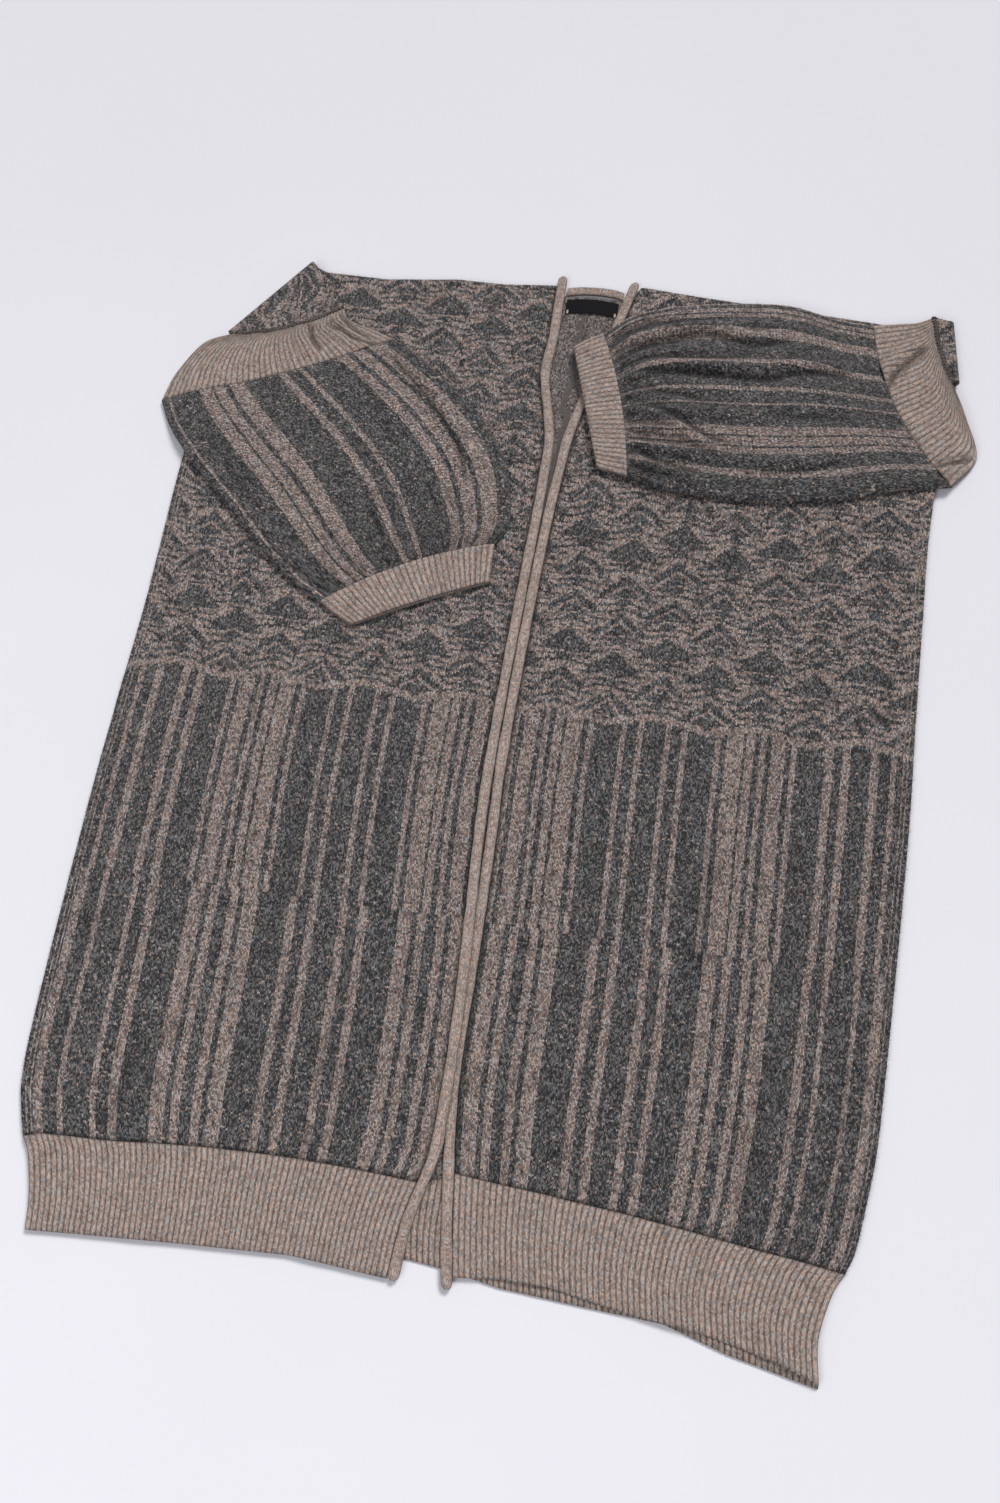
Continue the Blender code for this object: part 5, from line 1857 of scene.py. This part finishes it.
    def rolled_seam(self) -> bpy.types.Object:
        """Build the raised, overlocked armhole seam: a thin cord whose girth beads along the way.

        Returns:
            The cord.
        """
        shares = np.linspace(0.01, 0.99, self.roll_stations)
        line = seam_line(np.array(self.band_sections[0]), shares)
        run = travelled(line)
        wobble = lumps(line[:, 0], line[:, 1], 71, 0.05, (0.6, 2.0))
        line = line + wobble[:, None]
        way = np.gradient(line, axis=0)
        way = way / np.linalg.norm(way, axis=1)[:, None]
        side = np.column_stack([way[:, 1], -way[:, 0]])
        girth = self.roll_girth_mm + self.roll_bead_mm * np.sin(run * 2 * math.pi / self.roll_bead_cm)
        turn = np.linspace(0.0, 2 * math.pi, self.roll_around, endpoint=False)
        spread = np.outer(girth * 1.25, np.cos(turn)) / 10
        plan = line[:, None] + side[:, None] * spread[..., None]
        top = FOLD_CENTRE + SLEEVE_REST + 0.4
        high = top + np.outer(girth, np.sin(turn)) - body_sink(plan[..., 0])
        rings = np.dstack([plan, high])
        knit = PlainKnit(f"{self.hand.word}_seam_knit", SEAM_MIX, 0.12, 0.10).make()
        piece = Trims().solid(f"{self.hand.word}_armhole_roll", rings, knit)
        add_to_frame(piece)
        return piece


def body_sink(x: np.ndarray) -> np.ndarray:
    """Work out how far a sleeve sinks to the floor beyond the body's sides.

    Args:
        x: Plan x in centimetres.

    Returns:
        The drop of each point, in millimetres.
    """
    past_left = smooth_step(0.0, 2.6, -34.45 - x)
    past_right = smooth_step(0.0, 2.6, x - 34.95)
    return (SLEEVE_REST - SEAM_GAP) * (past_left + past_right)


SLEEVES = {
    Hand.RIGHT: SleeveSet(
        hand=Hand.RIGHT,
        band_sections=((-32.1, 33.3, -22.3, 37.4, 0.8, 5.4, 0.0, 0.0),
                       (-34.9, 31.9, -21.5, 36.1, 0.8, 5.4, 0.6, 0.9),
                       (-36.9, 28.8, -19.0, 35.2, 0.8, 5.4, 1.0, 1.6),
                       (-37.6, 25.6, -16.8, 34.4, 1.0, 5.4, 1.4, 2.2)),
        sleeve_sections=((-37.6, 25.6, -16.8, 34.4, 1.0, 5.4, 1.4, 2.2),
                         (-35.9, 22.6, -13.4, 32.2, 0.8, 5.4, 2.0, 3.0),
                         (-32.9, 19.1, -8.6, 28.3, 0.6, 5.4, 2.4, 3.0),
                         (-28.8, 15.2, -4.5, 23.1, 0.4, 5.4, 2.6, 3.0),
                         (-24.3, 10.8, -2.9, 17.9, 0.1, 5.4, 2.4, 2.9),
                         (-21.0, 8.1, -3.0, 15.4, -0.3, 5.4, 2.0, 2.8),
                         (-18.1, 6.4, -3.7, 14.0, -0.8, 5.4, 0.8, 1.4)),
        cuff_sections=((-18.1, 6.4, -3.7, 14.0, -0.8, 5.4, 0.8, 1.4),
                       (-16.6, 5.4, -3.6, 12.1, -0.6, 5.4, 0.6, 1.4),
                       (-14.9, 4.5, -3.5, 10.2, -0.2, 5.4, 0.3, 1.5)),
        stripes=RIGHT_SLEEVE_STRIPES,
        gathers=((0.10, 0.08, 0.30, 0.030, 1.6), (0.20, 0.14, 0.55, 0.038, 1.9),
                 (0.34, 0.27, 0.80, 0.045, 2.0),
                 (0.46, 0.42, 0.40, 0.030, 1.6), (0.57, 0.53, 0.65, 0.040, 1.9),
                 (0.70, 0.72, 0.75, 0.045, 2.2),
                 (0.80, 0.84, 0.35, 0.030, 1.6), (0.90, 0.93, 0.50, 0.035, 1.5)),
        creases=(Crease(((-17.6, 33.2), (-14.6, 30.4), (-11.3, 27.0), (-8.5, 23.0), (-6.9, 18.6)), 3.4,
                        -2.4, 0.62, 0.15),
                 Crease(((-33.5, 24.0), (-29.0, 18.5), (-23.5, 13.0)), 1.4, 1.2, 0.9),
                 Crease(((-21.0, 32.0), (-17.0, 27.0), (-13.6, 21.0)), 1.0, 1.0, 1.1),
                 Crease(((-8.8, 14.8), (-9.6, 17.2), (-11.4, 19.4)), 1.6, 1.2, 0.4),
                 Crease(((-13.0, 11.6), (-14.2, 14.2), (-16.0, 16.6)), 1.5, 1.2, 0.4)),
        band_creases=(Crease(((-24.9, 35.3), (-24.4, 33.5), (-23.1, 32.0)), 3.2, 3.4, 0.60, 0.2),
                      Crease(((-23.8, 35.4), (-21.9, 34.7), (-20.3, 33.8), (-17.4, 33.2)), 2.8, 2.2, 0.42,
                             0.2),
                      Crease(((-22.8, 37.0), (-20.6, 34.9), (-18.2, 33.8)), 2.2, 1.8, 0.40, 0.25)),
        band_ribs=40, band_cut=Cut(0.46, 0.10, 0.0207), sleeve_cut=Cut(0.47, 0.32, 0.112),
        cuff_cut=Cut(0.33, 0.042, 0.0115)),
    Hand.LEFT: SleeveSet(
        hand=Hand.LEFT,
        band_sections=((32.25, 42.1, 34.35, 35.3, 0.3, 5.4, 0.0, 0.0),
                       (30.8, 41.4, 36.1, 31.4, 0.4, 5.4, 0.6, 1.0),
                       (29.4, 41.15, 37.2, 27.9, 0.9, 5.4, 1.2, 1.8),
                       (26.9, 40.7, 35.2, 24.5, 1.6, 5.4, 1.6, 2.4)),
        sleeve_sections=((26.9, 40.7, 35.2, 24.5, 1.6, 5.4, 1.6, 2.4),
                         (23.5, 41.0, 30.9, 23.7, 1.2, 5.4, 2.2, 3.0),
                         (19.3, 42.0, 25.2, 21.9, 0.6, 5.4, 2.8, 3.0),
                         (14.6, 41.8, 19.2, 21.0, 0.2, 5.4, 3.0, 3.0),
                         (9.2, 40.9, 13.4, 21.0, 0.0, 5.7, 2.8, 3.0),
                         (5.2, 39.4, 9.6, 21.4, -0.3, 7.0, 1.8, 3.0),
                         (2.5, 37.1, 6.9, 22.2, -0.6, 7.0, 0.5, 1.4)),
        cuff_sections=((2.5, 37.1, 6.9, 22.2, -0.6, 7.0, 0.5, 1.4),
                       (1.2, 36.3, 5.5, 22.4, -0.3, 7.0, 0.4, 1.5),
                       (0.0, 35.3, 4.1, 22.7, 0.0, 7.0, 0.2, 1.6)),
        stripes=LEFT_SLEEVE_STRIPES,
        gathers=((0.06, 0.05, 0.40, 0.026, 2.6), (0.16, 0.10, 0.75, 0.034, 3.8),
                 (0.27, 0.22, 0.50, 0.028, 3.0),
                 (0.37, 0.33, 0.95, 0.038, 4.2), (0.48, 0.47, 0.45, 0.026, 2.8),
                 (0.58, 0.60, 0.70, 0.034, 3.8),
                 (0.69, 0.74, 0.45, 0.028, 3.0), (0.79, 0.85, 0.80, 0.036, 4.0),
                 (0.90, 0.94, 0.45, 0.026, 2.6)),
        creases=(Crease(((20.4, 38.2), (16.6, 37.0), (12.6, 37.6), (8.0, 36.4), (4.4, 34.6)), 3.0, 3.6,
                        0.5, 0.15),
                 Crease(((26.5, 34.8), (21.0, 34.4), (18.4, 33.4), (14.0, 33.2), (9.0, 33.2), (4.9, 32.3)),
                        3.0, 3.4, 0.5, 0.15),
                 Crease(((6.4, 29.3), (10.0, 28.8), (13.0, 27.0), (15.6, 26.0)), 3.2, 3.6, 0.5, 0.15),
                 Crease(((6.9, 25.2), (10.0, 23.6), (14.0, 22.9)), 2.4, 2.6, 0.45, 0.2),
                 Crease(((5.6, 30.8), (9.5, 30.9), (13.5, 30.2)), 1.8, 1.8, 0.4, 0.3),
                 Crease(((27.5, 30.4), (23.0, 29.8), (18.0, 29.4)), 1.6, 1.6, 0.6, 0.3),
                 Crease(((28.0, 26.8), (23.0, 24.6), (17.0, 23.4)), 1.6, 1.6, 0.6, 0.3)),
        band_creases=(Crease(((32.3, 39.0), (30.7, 37.1), (29.2, 35.0), (28.5, 32.3)), 3.2, 3.6, 0.60, 0.15),
                      Crease(((33.2, 26.2), (35.2, 26.9), (36.9, 27.8)), 3.0, 2.6, 0.50, 0.25)),
        band_ribs=32, band_cut=Cut(0.38, 0.11, 0.0189), sleeve_cut=Cut(0.44, 0.29, 0.099),
        cuff_cut=Cut(0.32, 0.037, 0.0097)),
}


@dataclass
class Studio:
    """The floor, the soft light and the camera at the photograph's angle."""

    camera_at: tuple[float, float, float] = (0.2375, -0.6017, 1.4608)
    camera_turn: tuple[float, float, float] = (23.045, 5.039, 9.827)
    lens: float = 45.0
    floor_size: float = 60.0
    floor_low: float = -0.0004
    key_spread: float = 24.0
    panel_size: float = 1.6

    def build(self) -> None:
        """Build the floor, the lights, the surrounding light and the camera."""
        self.add_floor()
        self.add_light("key", "SUN", (0.55, 1.0, 1.45), 2.2, (1.0, 0.985, 0.965))
        self.add_light("fill", "AREA", (-0.7, -1.7, 2.2), 24.0, (0.97, 0.98, 1.0))
        world = bpy.data.worlds.new("studio")
        world.use_nodes = True
        background = world.node_tree.nodes["Background"]
        background.inputs["Color"].default_value = (0.93, 0.94, 1.0, 1.0)
        background.inputs["Strength"].default_value = 0.30
        bpy.context.scene.world = world
        bpy.context.scene.view_settings.view_transform = "Standard"
        self.add_camera()

    def add_floor(self) -> None:
        """Add the floor: one face just below what the garment rests on."""
        half = self.floor_size / 2
        mesh = bpy.data.meshes.new("floor")
        corners = [(-half, -half), (half, -half), (half, half), (-half, half)]
        mesh.from_pydata([(x, y, self.floor_low) for x, y in corners], [], [(0, 1, 2, 3)])
        mesh.materials.append(PaleFloor("pale_floor").make())
        floor = bpy.data.objects.new("floor", mesh)
        bpy.context.scene.collection.objects.link(floor)

    def add_light(self, name: str, kind: str, at: tuple[float, float, float], power: float,
                  colour: tuple[float, float, float]) -> None:
        """Add a soft light that faces the garment's middle.

        Args:
            name: Its name.
            kind: SUN for a broad even light, or AREA for a square panel.
            at: Where it is, or where a sun shines from.
            power: Its strength.
            colour: Its colour.
        """
        data = bpy.data.lights.new(name, kind)
        if kind == "SUN":
            data.angle = math.radians(self.key_spread)
        else:
            data.size = self.panel_size
        data.energy = power
        data.color = colour
        light = bpy.data.objects.new(name, data)
        light.location = at
        light.rotation_euler = (-light.location).to_track_quat("-Z", "Y").to_euler()
        bpy.context.scene.collection.objects.link(light)

    def add_camera(self) -> None:
        """Add the camera."""
        data = bpy.data.cameras.new("camera")
        data.lens = self.lens
        data.sensor_width = 36.0
        camera = bpy.data.objects.new("camera", data)
        camera.location = self.camera_at
        camera.rotation_euler = tuple(math.radians(angle) for angle in self.camera_turn)
        bpy.context.scene.collection.objects.link(camera)
        bpy.context.scene.camera = camera


def main() -> None:
    """Build the cardigan piece by piece."""
    logging.basicConfig(level=logging.INFO, format="%(name)s: %(message)s")
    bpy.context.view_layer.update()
    Panels().build()
    Hems().build()
    Trims().build()
    NeckLabel().build()
    rib = PlainKnit("sleeve_rib", RIB_TAUPE, STITCH_WIDE_CM, STITCH_TALL_CM).make()
    for sleeve in SLEEVES.values():
        sleeve.build(rib)
    Studio().build()


if __name__ == "__main__":
    main()
